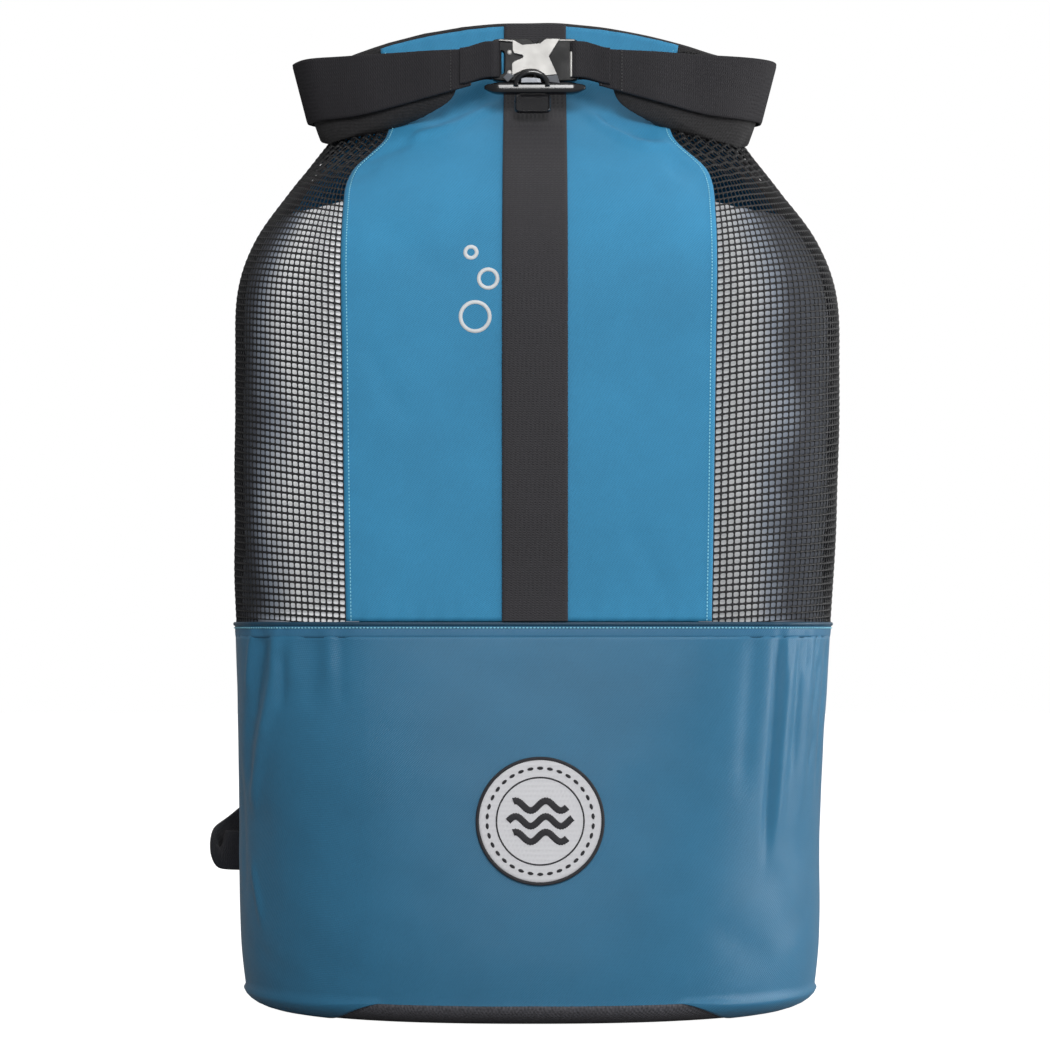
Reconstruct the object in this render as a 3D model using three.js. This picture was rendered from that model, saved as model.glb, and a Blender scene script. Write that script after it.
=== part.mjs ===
// A roll-top mesh gear backpack, standing closed on its base. Millimetres, +Z up.
// The front faces -Y, and the origin is the middle of the base's flat underside.
import * as THREE from "three";

// Sizes of the body
const bagHeight = 604; // from the floor to the ridge of the rolled top
const bodyWidth = 366;
const bodyDepth = 250;
const neckWidth = 236; // width of the flattened top
const topFront = 16; // how far the flattened top reaches in front of the middle plane
const topBack = 13; // and behind it
const archDrop = 21; // how much lower the flattened top is at its two ends

// Sizes of the cloth
const clothWall = 1.5;
const seamGap = 0.3; // clearance left between any two pieces
const baseSeam = 14; // height of the seam between base and band
const baseCurl = 30; // how far in from the outline the base becomes flat
const bandTop = 228;
const hemTall = 8;
const hemProud = 0.9; // how far the folded hem stands out from the band
const panelWidth = 216;
const panelOffset = -3.5; // the front panel's middle from the strap's, towards +X
const rearSeam = 100; // degrees round from the front at which the net ends
const netTop = 478; // above this the net is gathered solid
const netColumns = 5;
const netRows = 10;
const netStrand = 5;
const liningDepth = 7; // how far behind the net's face the lining hangs
const liningTop = 486;
const liningTuck = 7; // how far the lining reaches behind the cloth that it is sewn to
const liningSeam = 3; // and how far behind that cloth's face it lies there
const ridgeProud = 1.6; // how far the roll shows above the front panel
const rollTall = 45.6; // height of the roll's middle, behind which the back panel ends

// Sizes of the webbing, the roll's two turned ends and the belt round them
const webbingWidth = 38;
const webbingThick = 1.8;
const loopWidth = 284; // across the roll's outer face, where its ends turn forward
const loopFront = 62; // the roll's outer face in front of the middle plane, at the buckle
const loopBack = 24; // and behind it
const loopFlare = 0.26; // the turned ends lean out this much for each millimetre of height
const endThick = 13; // thickness and height of the roll's turned ends
const endTall = 41;
const buckleDrop = 32; // the buckle's middle lies this far below the ridge of the rolled top

// Sizes of the buckle and its pull tag
const buckleWidth = 53;
const buckleTall = 25.6;
const buckleThick = 5;
const slotWidth = 5.6;
const slotTall = 22.4;
const barWidth = 3; // the bar outside each slot, which holds a strap loop
const loopTail = 20; // length of the strap loop's sewn tails
const plateWidth = 36;
const plateTall = 25;
const plateThick = 1.6;
const railWidth = 61;
const railThick = 7.4;
const tagWidth = 22;
const tagTall = 13;
const tagThick = 1.8;
const tagRim = 1.6;
const tagTilt = 30; // degrees, as it lies on the strap under it

// Sizes of the patch on the band
const patchRadius = 37;
const patchSide = 3; // the patch's middle from the strap's, towards +X
const patchHeight = 121;
const patchThick = 1;
const patchBorder = 1.3; // radius of the stitched border

// Sizes of the shoulder straps
const padWidth = 58;
const padThick = 9;
const padTop = 506;
const padFoot = 262;
const padTopSpread = 48; // from the middle plane to each pad's middle, at its top
const padFootSpread = 84; // and at its foot
const padBow = 24; // how far a pad bows away from the back
const padFootLift = 9; // and how much further its foot stands off
const sideWebbing = 25;
const adjusterWidth = 34;
const adjusterTall = 30;
const adjusterThick = 4;
const adjusterDrop = 2.7; // from a pad's foot to its adjuster
const turnHeight = 200; // where the side webbing leaves the back and goes round the side
const turnSpread = 106; // from the middle plane to the webbing there
const turnLift = 9; // and how far it stands off the back there
const webbingLead = 9; // the webbing runs straight for this length below its adjuster
const wingHeight = 88; // height of the middle of each wing, where the side webbing is sewn on
const wingTall = 34;
const wingLong = 12;
const wingThick = 3;
const wingAngle = 124; // degrees round from the front at which each wing is sewn to the band
const slackReach = 40; // how far a fully slack side webbing bows out from the band
const leftSlack = 1; // 0 runs close to the band, 1 is fully slack
const rightSlack = 0.1;

// The side webbing between its turn and the wing, for tight (0) and slack (1) webbing: degrees round from the
// front, height as a share of the way from the wing up to the turn, and how far off as a share of slackReach.
const sideRoute = [
  { angle: [138, 138], rise: [0.55, 0.55], off: [0.3, 0.5] },
  { angle: [134, 119], rise: [0.27, 0.18], off: [0.375, 1] },
  { angle: [131, 111], rise: [0.12, 0.01], off: [0.4, 0.9] },
];

// Outline of the bag, one row for each height: the rise is a share of bagHeight, wide, front and back go
// from 0 at the flattened top to 1 at the full body, lean is how far the outline's middle lies to the right
// as a share of bodyWidth, and square and flat are the powers of the section's back and front halves.
const sections = [
  { rise: 0.0, wide: 0.86, front: 0.955, back: 0.937, lean: -0.008, square: 2.25, flat: 2.25 },
  { rise: 0.07, wide: 0.928, front: 0.99, back: 0.964, lean: -0.008, square: 2.3, flat: 2.35 },
  { rise: 0.18, wide: 0.926, front: 1.0, back: 0.973, lean: -0.009, square: 2.35, flat: 2.7 },
  { rise: 0.3, wide: 0.946, front: 1.0, back: 0.98, lean: -0.006, square: 2.35, flat: 3.3 },
  { rise: 0.39, wide: 0.97, front: 1.0, back: 0.985, lean: -0.003, square: 2.4, flat: 3.7 },
  { rise: 0.5, wide: 1.0, front: 1.01, back: 0.985, lean: 0.001, square: 2.45, flat: 4.0 },
  { rise: 0.65, wide: 1.01, front: 1.01, back: 0.985, lean: 0.004, square: 2.5, flat: 4.0 },
  { rise: 0.72, wide: 0.99, front: 0.995, back: 0.97, lean: 0.003, square: 2.5, flat: 3.8 },
  { rise: 0.773, wide: 0.838, front: 0.915, back: 0.9, lean: 0.001, square: 2.45, flat: 3.2 },
  { rise: 0.825, wide: 0.523, front: 0.73, back: 0.76, lean: 0.0, square: 2.4, flat: 2.7 },
  { rise: 0.876, wide: 0.17, front: 0.43, back: 0.45, lean: 0.0, square: 2.4, flat: 2.4 },
  { rise: 0.906, wide: 0.04, front: 0.24, back: 0.22, lean: 0.0, square: 2.6, flat: 2.6 },
  { rise: 0.93, wide: 0.0, front: 0.13, back: 0.07, lean: 0.0, square: 2.9, flat: 2.9 },
  { rise: 0.965, wide: 0.0, front: 0.045, back: 0.0, lean: 0.0, square: 3.2, flat: 3.2 },
  { rise: 1.0, wide: 0.0, front: 0.0, back: 0.0, lean: 0.0, square: 3.4, flat: 3.4 },
];

// Half the front panel's width, as a share of half of panelWidth.
const panelEdges = [
  { rise: 0.3, half: 0.97 },
  { rise: 0.39, half: 0.98 },
  { rise: 0.65, half: 1.0 },
  { rise: 0.79, half: 1.01 },
  { rise: 0.835, half: 0.98 },
  { rise: 0.875, half: 0.8 },
  { rise: 0.93, half: 0.8 },
  { rise: 1.0, half: 0.85 },
];

// Gathers and dents in the band: angle round from the front, how far they spread in degrees, their depth
// as a share of foldDepth, and their upper and lower ends as shares of bandTop.
const foldDepth = 3.4;
const folds = [
  { angle: -84, spread: 5, depth: 0.8, top: 1.0, foot: 0.42 },
  { angle: -69, spread: 6, depth: 1.0, top: 1.0, foot: 0.3 },
  { angle: -55, spread: 5, depth: 0.6, top: 1.0, foot: 0.5 },
  { angle: -42, spread: 6, depth: 0.4, top: 0.98, foot: 0.35 },
  { angle: 42, spread: 6, depth: 0.5, top: 0.98, foot: 0.2 },
  { angle: 60, spread: 4, depth: 0.7, top: 1.0, foot: 0.66 },
  { angle: 71, spread: 4, depth: 0.8, top: 1.0, foot: 0.62 },
  { angle: 83, spread: 5, depth: 0.8, top: 1.0, foot: 0.5 },
];

// Outer face of the roll from the middle of the back round to the buckle: x is a share of half of
// loopWidth, y goes from 0 at loopBack to 1 at loopFront, mid is the belt's middle below the ridge, low is
// the roll's lower edge below the belt's middle, tall and thick are shares of endTall and endThick, and
// belt is the belt's width. All other lengths are shares of webbingWidth.
const loop = [
  { x: 0.0, y: 0.0, mid: 0.5, low: 0.5, tall: 1.0, thick: 1.0, belt: 1.0 },
  { x: 0.42, y: 0.005, mid: 0.62, low: 0.5, tall: 1.0, thick: 1.0, belt: 1.0 },
  { x: 0.7, y: 0.03, mid: 0.85, low: 0.5, tall: 1.0, thick: 1.0, belt: 1.0 },
  { x: 0.86, y: 0.09, mid: 1.02, low: 0.6, tall: 1.0, thick: 1.0, belt: 1.0 },
  { x: 0.962, y: 0.22, mid: 1.11, low: 0.64, tall: 1.04, thick: 1.05, belt: 1.0 },
  { x: 1.0, y: 0.39, mid: 1.14, low: 0.66, tall: 1.08, thick: 1.05, belt: 1.0 },
  { x: 0.985, y: 0.55, mid: 1.16, low: 0.66, tall: 1.08, thick: 1.05, belt: 1.0 },
  { x: 0.91, y: 0.7, mid: 1.17, low: 0.64, tall: 1.02, thick: 1.0, belt: 1.0 },
  { x: 0.74, y: 0.83, mid: 1.18, low: 0.58, tall: 0.95, thick: 0.95, belt: 1.0 },
  { x: 0.54, y: 0.93, mid: 1.16, low: 0.5, tall: 0.84, thick: 0.85, belt: 0.97 },
  { x: 0.37, y: 0.99, mid: 1.07, low: 0.42, tall: 0.62, thick: 0.6, belt: 0.78 },
  { x: 0.27, y: 1.0, mid: 0.99, low: 0.3, tall: 0.44, thick: 0.4, belt: 0.66 },
];

const cloth = (color, roughness = 0.85) => new THREE.MeshStandardMaterial({ color, roughness, metalness: 0 });
const finishes = {
  panel: cloth(0x3f87b5, 0.7),
  band: cloth(0x3a6f96, 0.7),
  base: cloth(0x4b4a50),
  net: cloth(0x17171a),
  lining: cloth(0xd5d6d8),
  webbing: cloth(0x3a383a),
  roll: cloth(0x242326),
  pad: cloth(0x1c1c1f),
  plastic: new THREE.MeshStandardMaterial({ color: 0x111216, roughness: 0.35, metalness: 0 }),
  plate: new THREE.MeshStandardMaterial({ color: 0xd9d8d4, roughness: 0.35, metalness: 0.9 }),
  rubber: cloth(0x1d1d20, 0.5),
  patch: cloth(0xf0f0f2, 0.9),
  border: cloth(0x1b1b1f, 0.9),
};
const bag = new THREE.Group();

// Value of a column of a table at a position along its key, on a smooth curve through the rows.
function along(table, key, position, column) {
  let i = 0;
  while (i < table.length - 2 && position > table[i + 1][key]) i += 1;
  const row = (k) => table[Math.min(Math.max(k, 0), table.length - 1)];
  const slope = (k) => (row(k + 1)[column] - row(k - 1)[column]) / (row(k + 1)[key] - row(k - 1)[key]);
  const span = row(i + 1)[key] - row(i)[key];
  const t = (position - row(i)[key]) / span;
  const rise = row(i + 1)[column] - row(i)[column];
  const startSlope = slope(i) * span;
  const endSlope = slope(i + 1) * span;
  const bend = 3 * rise - 2 * startSlope - endSlope;
  return row(i)[column] + t * (startSlope + t * (bend + t * (rise - startSlope - bend)));
}

const radians = THREE.MathUtils.degToRad;
const mix = THREE.MathUtils.lerp;
const smooth = THREE.MathUtils.smoothstep;
const range = (count) => Array.from({ length: count }, (_, i) => i);
const spread = (from, to, steps) => range(steps + 1).map((i) => mix(from, to, i / steps));
const point = (x, y, z) => new THREE.Vector3(x, y, z);
const signedPower = (value, power) => Math.sign(value) * Math.abs(value) ** power;

// Half width, middle, reach in front and behind, and squareness of the bag's outline at a height.
function outline(z) {
  const share = (column) => along(sections, "rise", z / bagHeight, column);
  return {
    half: mix(neckWidth / 2, bodyWidth / 2, share("wide")),
    middle: share("lean") * bodyWidth,
    front: mix(topFront, bodyDepth / 2, share("front")),
    back: mix(topBack, bodyDepth / 2, share("back")),
    square: share("square"),
    flat: share("flat"),
  };
}

// How deep the band is folded in at an angle (radians) and a height.
function foldAt(angle, z) {
  const share = z / bandTop;
  return folds.reduce((sum, fold) => {
    const across = (THREE.MathUtils.radToDeg(angle) - fold.angle) / fold.spread;
    const fade = smooth(share, fold.foot, fold.top) * (1 - smooth(share, fold.top - 0.08, fold.top));
    return sum + foldDepth * fold.depth * fade * Math.exp(-across * across);
  }, 0);
}

// A point of the bag's outer face: angle round from the front, towards +X, and height.
function bareSkin(angle, z) {
  const { half, middle, front, back, square, flat } = outline(z);
  const inFront = Math.cos(angle) > 0;
  const power = 2 / (inFront ? flat : square);
  const reach = inFront ? front : back;
  const x = half * signedPower(Math.sin(angle), power);
  const y = -reach * signedPower(Math.cos(angle), power);
  const drop = archDrop * (x / (neckWidth / 2)) ** 2 * smooth(z / bagHeight, 0.86, 1);
  return point(middle + x, y, z - drop);
}

// The same point, moved in by a depth along the cloth's own normal.
function skin(angle, z, depth = 0) {
  const turn = 0.01;
  const step = 0.5;
  const around = bareSkin(angle + turn, z).sub(bareSkin(angle - turn, z));
  const upward = bareSkin(angle, z + step).sub(bareSkin(angle, z - step));
  const inward = upward.cross(around).normalize();
  const folded = z < bandTop ? foldAt(angle, z) : 0;
  return bareSkin(angle, z).addScaledVector(inward, depth + folded);
}

// The angle of a point that lies x to the side of the middle plane, on the front or on the back.
function angleAt(x, z, onBack = false) {
  const { half, middle, square, flat } = outline(z);
  const share = (x - middle) / half;
  const power = (onBack ? square : flat) / 2;
  const turned = Math.asin(Math.min(1, Math.abs(share)) ** power) * Math.sign(share);
  return onBack ? Math.PI - turned : turned;
}
const frontSpot = (x, z, lift) => skin(angleAt(x, z), z, -lift);
const backSpot = (x, z, lift) => skin(angleAt(x, z, true), z, -lift);

// The angle that spans a length along the outline.
function angleOf(length, angle, z) {
  const turn = 0.02;
  return (length * 2 * turn) / bareSkin(angle + turn, z).distanceTo(bareSkin(angle - turn, z));
}

// A mesh from a flat list of triangle corners, turned round if it came out inside out.
function solid(name, corners, material) {
  let volume = 0;
  for (let i = 0; i < corners.length; i += 3) {
    volume += corners[i].dot(corners[i + 1].clone().cross(corners[i + 2]));
  }
  const ordered = volume < 0 ? corners.slice().reverse() : corners;
  const geometry = new THREE.BufferGeometry().setFromPoints(ordered);
  return place(name, geometry, material);
}

function place(name, geometry, material) {
  const mesh = new THREE.Mesh(geometry, material);
  mesh.name = name;
  bag.add(mesh);
  return mesh;
}

// A cloth wall: a grid of cells, each with an outer and an inner face and a rim where no cell lies beside it.
// at(u, v, depth) gives a corner, and isGap(column, row) leaves a cell out.
function wall(name, { across, up, at, material, thick = clothWall, wraps = false, isGap = () => false }) {
  const columns = wraps ? across.length : across.length - 1;
  const rows = up.length - 1;
  const sides = [0, thick].map((depth) => up.map((v) => across.map((u) => at(u, v, depth))));
  const corner = (i, j, side) => sides[side][j][(i + across.length) % across.length];
  const wrapped = (i) => (wraps ? (i + columns) % columns : i);
  const inGrid = (i, j) => j >= 0 && j < rows && wrapped(i) >= 0 && wrapped(i) < columns;
  const filled = (i, j) => inGrid(i, j) && !isGap(wrapped(i), j);
  const corners = [];
  const quad = (a, b, c, d) => corners.push(a, b, c, a, c, d);
  for (const j of range(rows)) {
    for (const i of range(columns)) {
      if (!filled(i, j)) continue;
      const spots = [[i, j], [i + 1, j], [i + 1, j + 1], [i, j + 1]];
      const outer = spots.map(([a, b]) => corner(a, b, 0));
      const inner = spots.map(([a, b]) => corner(a, b, 1));
      quad(...outer);
      quad(...inner.slice().reverse());
      [[i, j - 1], [i + 1, j], [i, j + 1], [i - 1, j]].forEach(([a, b], side) => {
        const next = (side + 1) % 4;
        if (!filled(a, b)) quad(inner[side], inner[next], outer[next], outer[side]);
      });
    }
  }
  return solid(name, corners, material);
}

// A solid through closed rings of points, with a fan over each end.
function loft(name, rings, material) {
  const corners = [];
  const count = rings[0].length;
  const middle = (ring) => ring.reduce((sum, p) => sum.add(p), point(0, 0, 0)).divideScalar(count);
  const ends = [middle(rings[0]), middle(rings[rings.length - 1])];
  for (const i of range(count)) {
    const next = (i + 1) % count;
    corners.push(ends[0], rings[0][next], rings[0][i]);
    corners.push(ends[1], rings[rings.length - 1][i], rings[rings.length - 1][next]);
    for (const k of range(rings.length - 1)) {
      const [low, high] = [rings[k], rings[k + 1]];
      corners.push(low[i], low[next], high[next], low[i], high[next], high[i]);
    }
  }
  return solid(name, corners, material);
}

// A closed tube along a closed path: rings joined end to end.
function hoop(name, rings, material) {
  const corners = [];
  rings.forEach((low, k) => {
    const high = rings[(k + 1) % rings.length];
    low.forEach((a, i) => {
      const next = (i + 1) % low.length;
      corners.push(a, low[next], high[next], a, high[next], high[i]);
    });
  });
  return solid(name, corners, material);
}

// Corners of a section: a flat strip, or a rounded bar with the given power.
const strip = [[-0.5, -0.5], [0.5, -0.5], [0.5, 0.5], [-0.5, 0.5]];
const rounded = (sides, power) =>
  range(sides).map((i) => {
    const angle = (2 * Math.PI * (i + 0.5)) / sides;
    return [signedPower(Math.cos(angle), 2 / power) / 2, signedPower(Math.sin(angle), 2 / power) / 2];
  });

// A ring of a section laid out in the plane of two unit vectors.
const ringAt = (section, centre, side, normal, width, thick) =>
  section.map(([a, b]) => centre.clone().addScaledVector(side, a * width).addScaledVector(normal, b * thick));

// Angles round the bag, closer together at the two sides, where the cloth is gathered.
function roundAngles(frontSteps, sideSteps, backSteps) {
  const degrees = [
    ...spread(-40, 40, frontSteps).slice(0, -1),
    ...spread(40, 112, sideSteps).slice(0, -1),
    ...spread(112, 248, backSteps).slice(0, -1),
    ...spread(248, 320, sideSteps).slice(0, -1),
  ];
  return degrees.map((angle) => radians(angle > 180 ? angle - 360 : angle));
}

// The base: a flat oval whose edge curls up to the band's seam.
function buildBase() {
  const angles = roundAngles(6, 8, 6);
  const seam = baseSeam - seamGap;
  const edge = (turn, wallIn) =>
    angles.map((angle) => {
      const inset = baseCurl - (baseCurl - wallIn) * Math.cos(turn);
      const rim = bareSkin(angle, baseSeam);
      const height = seam - (seam - wallIn) * Math.sin(turn);
      return rim.lerp(skin(angle, baseSeam, baseCurl), inset / baseCurl).setZ(height);
    });
  const turns = [0, 25, 55, 90].map(radians);
  const outer = turns.map((turn) => edge(turn, 0));
  const inner = turns.map((turn) => edge(turn, clothWall));
  loft("base_panel", [...outer.slice().reverse(), ...inner], finishes.base);
}

function buildBand() {
  const heights = [baseSeam, ...[0.2, 0.4, 0.58, 0.75, 0.9].map((share) => share * bandTop), bandTop];
  wall("lower_band", {
    across: roundAngles(8, 15, 8), up: heights, at: skin, material: finishes.band, wraps: true,
  });
  wall("band_hem", {
    across: roundAngles(8, 10, 8),
    up: [bandTop + seamGap, bandTop + hemTall],
    at: (angle, z, depth) => skin(angle, z, depth - hemProud),
    material: finishes.band,
    thick: clothWall + hemProud,
    wraps: true,
  });
}

// Heights of the rows of the upper cloth: few on the straight body, close together over the shoulder.
const upperFoot = bandTop + hemTall + seamGap;
const backTop = bagHeight - rollTall;
const shoulder = spread(0.75 * bagHeight, backTop, 7);
const crown = 0.96 * bagHeight;
const bodyRows = [...spread(upperFoot, 0.715 * bagHeight, 5), ...shoulder, crown];
const panelHalf = (z) => (along(panelEdges, "rise", z / bagHeight, "half") * panelWidth) / 2;
const panelAngle = (side, z) => angleAt(panelOffset + side * panelHalf(z), z);
const rearAngle = radians(rearSeam);

function buildPanels() {
  wall("front_panel", {
    across: spread(0, 1, 10),
    up: [...bodyRows, bagHeight - ridgeProud],
    at: (u, z, depth) => skin(mix(panelAngle(-1, z), panelAngle(1, z), u), z, depth),
    material: finishes.panel,
  });
  wall("back_panel", {
    across: spread(-1, 1, 14),
    up: bodyRows.filter((z) => z <= backTop),
    at: (u, z, depth) => {
      const half = Math.PI - rearAngle - angleOf(seamGap, rearAngle, z);
      return skin(Math.PI + u * half, z, depth);
    },
    material: finishes.panel,
  });
}

// The net: strands with gaps cut through between them, and gathered solid over the shoulder.
function buildNet(name, side) {
  const netFoot = upperFoot + netStrand;
  const pitch = (netTop - netFoot) / netRows;
  const levels = range(netRows).flatMap((i) => [netFoot + i * pitch, netFoot + (i + 1) * pitch - netStrand]);
  const neckRows = bodyRows.filter((z) => z > netTop + netStrand);
  const up = [upperFoot, ...levels, netTop, ...neckRows, bagHeight - ridgeProud];
  const across = range(netColumns + 1).flatMap((i) => [[i, 0], [i, 1]]);
  wall(name, {
    across,
    up,
    at: ([cell, far], z, depth) => {
      const panelEdge = Math.abs(panelAngle(side, z));
      const from = panelEdge + angleOf(seamGap, panelEdge, z);
      const strandShare = netStrand / angleToLength(from, rearAngle, z);
      const step = (1 - strandShare) / netColumns;
      return skin(side * mix(from, rearAngle, cell * step + far * strandShare), z, depth);
    },
    material: finishes.net,
    isGap: (i, j) => i % 2 === 1 && j % 2 === 1 && j < 2 * netRows,
  });
}

// Length of the outline between two angles at a height.
function angleToLength(from, to, z) {
  const spots = spread(from, to, 8).map((angle) => bareSkin(angle, z));
  return spots.slice(1).reduce((sum, spot, i) => sum + spot.distanceTo(spots[i]), 0);
}

// A pale lining sheet behind each net: its edges are sewn in behind the cloth round it.
function buildLining(name, side) {
  const foot = upperFoot - liningTuck;
  const middleRows = spread(0.46, 0.75, 4).map((share) => share * bagHeight);
  const up = [foot, upperFoot, upperFoot + liningTuck, ...middleRows, liningTop];
  wall(name, {
    across: spread(0, 1, 9),
    up,
    at: (u, z, depth) => {
      const height = Math.max(z, upperFoot);
      const panelEdge = Math.abs(panelAngle(side, height));
      const from = panelEdge - angleOf(liningTuck, panelEdge, height);
      const to = rearAngle + angleOf(liningTuck, rearAngle, height);
      const inMiddle = smooth(u, 0, 0.2) * (1 - smooth(u, 0.8, 1));
      const inField = inMiddle * smooth(z, upperFoot, upperFoot + 2 * liningTuck);
      const sunk = mix(liningSeam, liningDepth, inField);
      return skin(side * mix(from, to, u), z, depth + sunk);
    },
    material: finishes.lining,
    thick: 1,
  });
}

// The roll's middle: the layers of the flattened top, rolled backwards behind the front panel.
function buildRoll() {
  const half = neckWidth / 2 - 5;
  const back = loopBack - seamGap - 0.6;
  const inside = clothWall + 4 * seamGap;
  const middle = (topBack - clothWall) / 2;
  const rings = spread(-1, 1, 12).map((u) => {
    const x = u * half;
    const drop = archDrop * (x / (neckWidth / 2)) ** 2;
    const front = frontSpot(Math.abs(x) < 1 ? 1 : x, bagHeight - 8, -inside).y;
    const rear = mix(middle, back, (1 - Math.abs(u) ** 4) ** 0.5 * 0.75 + 0.25);
    const top = bagHeight - drop;
    const foot = backSpot(x, backTop, 0).z + 2 * seamGap;
    return [
      [front, top - 4], [mix(front, rear, 0.2), top], [mix(front, rear, 0.75), top], [rear, top - 5],
      [rear, foot + 6], [mix(middle, rear, 0.7), foot], [middle - 2, foot], [front, foot + 9],
    ].map(([y, z]) => point(x, y, z));
  });
  loft("top_roll", rings, finishes.roll);
}

// The roll's outer face as a curve from the middle of the back (0) to the buckle (1), on one side.
function loopAt(share, side) {
  const position = share * (loop.length - 1);
  const rows = loop.map((row, i) => ({ ...row, i }));
  const value = (column) => along(rows, "i", position, column);
  const spot = (p) => point(
    (side * along(rows, "i", p, "x") * loopWidth) / 2,
    mix(loopBack, -loopFront, along(rows, "i", p, "y")),
    0,
  );
  const tangent = spot(position + 0.01).sub(spot(position - 0.01)).normalize();
  const out = point(-tangent.y * side, tangent.x * side, 0);
  const lean = loopFlare * smooth(Math.abs(out.x), 0.1, 1);
  const upward = point(out.x * lean, out.y * lean, 1).normalize();
  const mid = bagHeight - value("mid") * webbingWidth;
  return { spot: spot(position).setZ(mid), out, upward, value };
}

const loopShares = spread(0, 1, 24);

// The turned ends of the roll, which lie against the inside of the belt.
function buildRollEnd(name, side) {
  const rings = loopShares.filter((share) => share > 0.33 && share < 0.9).map((share) => {
    const { spot, out, upward, value } = loopAt(share, side);
    const tall = endTall * value("tall");
    const thick = endThick * value("thick");
    const centre = spot.clone()
      .addScaledVector(out, -(thick / 2 + 3 * seamGap))
      .addScaledVector(upward, tall / 2 - value("low") * webbingWidth);
    return ringAt(rounded(10, 3), centre, upward, out, tall, thick);
  });
  loft(name, rings, finishes.roll);
}

// The belt: one length of webbing from the buckle's left side round the back to its right side.
function buildBelt() {
  const stations = [
    ...loopShares.slice(1).reverse().map((share) => loopAt(share, -1)),
    ...loopShares.map((share) => loopAt(share, 1)),
  ];
  const rings = stations.map(({ spot, out, upward, value }) =>
    ringAt(strip, spot.clone().addScaledVector(out, webbingThick / 2), upward, out,
      value("belt") * webbingWidth, webbingThick));
  loft("closure_belt", rings, finishes.webbing);
}

// Buckle: a moulded frame with a slot at each end, a metal plate on its face and a rail under it.
const buckleMiddle = bagHeight - buckleDrop;
const buckleBack = -loopFront - webbingThick / 2 + buckleThick / 2;

function roundedShape(width, tall, radius, x = 0, y = 0, path = THREE.Shape) {
  const [w, h] = [width / 2, tall / 2];
  const shape = new path();
  shape.absarc(x + w - radius, y - h + radius, radius, -Math.PI / 2, 0);
  shape.absarc(x + w - radius, y + h - radius, radius, 0, Math.PI / 2);
  shape.absarc(x - w + radius, y + h - radius, radius, Math.PI / 2, Math.PI);
  shape.absarc(x - w + radius, y - h + radius, radius, Math.PI, 1.5 * Math.PI);
  return shape;
}

// A flat shape, drawn as seen from the front, given its thickness forward of y.
function plateAt(name, shape, thick, x, y, z, material) {
  const geometry = new THREE.ExtrudeGeometry(shape, { depth: thick, bevelEnabled: false, curveSegments: 3 });
  const mesh = place(name, geometry, material);
  mesh.rotation.x = Math.PI / 2;
  mesh.position.set(x, y, z);
  return mesh;
}

function buildBuckle() {
  const frame = roundedShape(buckleWidth, buckleTall, 3);
  const slotMiddle = buckleWidth / 2 - barWidth - slotWidth / 2;
  [-1, 1].forEach((side) =>
    frame.holes.push(roundedShape(slotWidth, slotTall, 1, side * slotMiddle, 0, THREE.Path)));
  plateAt("buckle_frame", frame, buckleThick, 0, buckleBack, buckleMiddle, finishes.plastic);

  const [w, h] = [plateWidth / 2, plateTall / 2];
  const cross = new THREE.Shape();
  [
    [-0.72, 1], [-0.2, 0.68], [0.15, 0.7], [0.42, 1], [1, 1], [0.55, 0.02], [1, -1], [0.52, -1], [0.3, -0.5],
    [-0.28, -0.45], [-0.9, -1], [-1, -0.78], [-0.72, -0.42], [-0.2, -0.02], [-0.72, 0.4],
  ].forEach(([x, y], i) => (i ? cross.lineTo(x * w, y * h) : cross.moveTo(x * w, y * h)));
  const plateBack = buckleBack - buckleThick - seamGap;
  plateAt("buckle_plate", cross, plateThick, 0, plateBack, buckleMiddle, finishes.plate);

  const railHeight = buckleMiddle - buckleTall / 2 - railThick / 2 - seamGap;
  const railMiddle = point(0, buckleBack - buckleThick / 2, railHeight);
  const across = point(1, 0, 0);
  const rail = spread(-1, 1, 8).map((u) => {
    const thick = railThick * (Math.abs(u) === 1 ? 0.55 : 1);
    const centre = railMiddle.clone().addScaledVector(across, (u * railWidth) / 2);
    return ringAt(rounded(10, 2.6), centre, point(0, 1, 0), point(0, 0, 1), thick, thick);
  });
  loft("buckle_rail", rail, finishes.plastic);

  const tagHead = railMiddle.z - railThick / 2 - 4 * seamGap;
  const tag = roundedShape(tagWidth, tagTall, 3, 0, -tagTall / 2);
  const front = railMiddle.y + tagThick / 2;
  const hung = plateAt("pull_tag", tag, tagThick, 0, front, tagHead, finishes.rubber);
  hung.rotation.x = Math.PI / 2 - radians(tagTilt);
  const rim = roundedShape(tagWidth, tagTall, 3, 0, -tagTall / 2);
  rim.holes.push(roundedShape(tagWidth - 2 * tagRim, tagTall - 2 * tagRim, 2, 0, -tagTall / 2, THREE.Path));
  const raised = plateAt("tag_rim", rim, 0.7, 0, front, tagHead, finishes.rubber);
  raised.rotation.x = hung.rotation.x;
  raised.translateZ(tagThick + seamGap);
}

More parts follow.
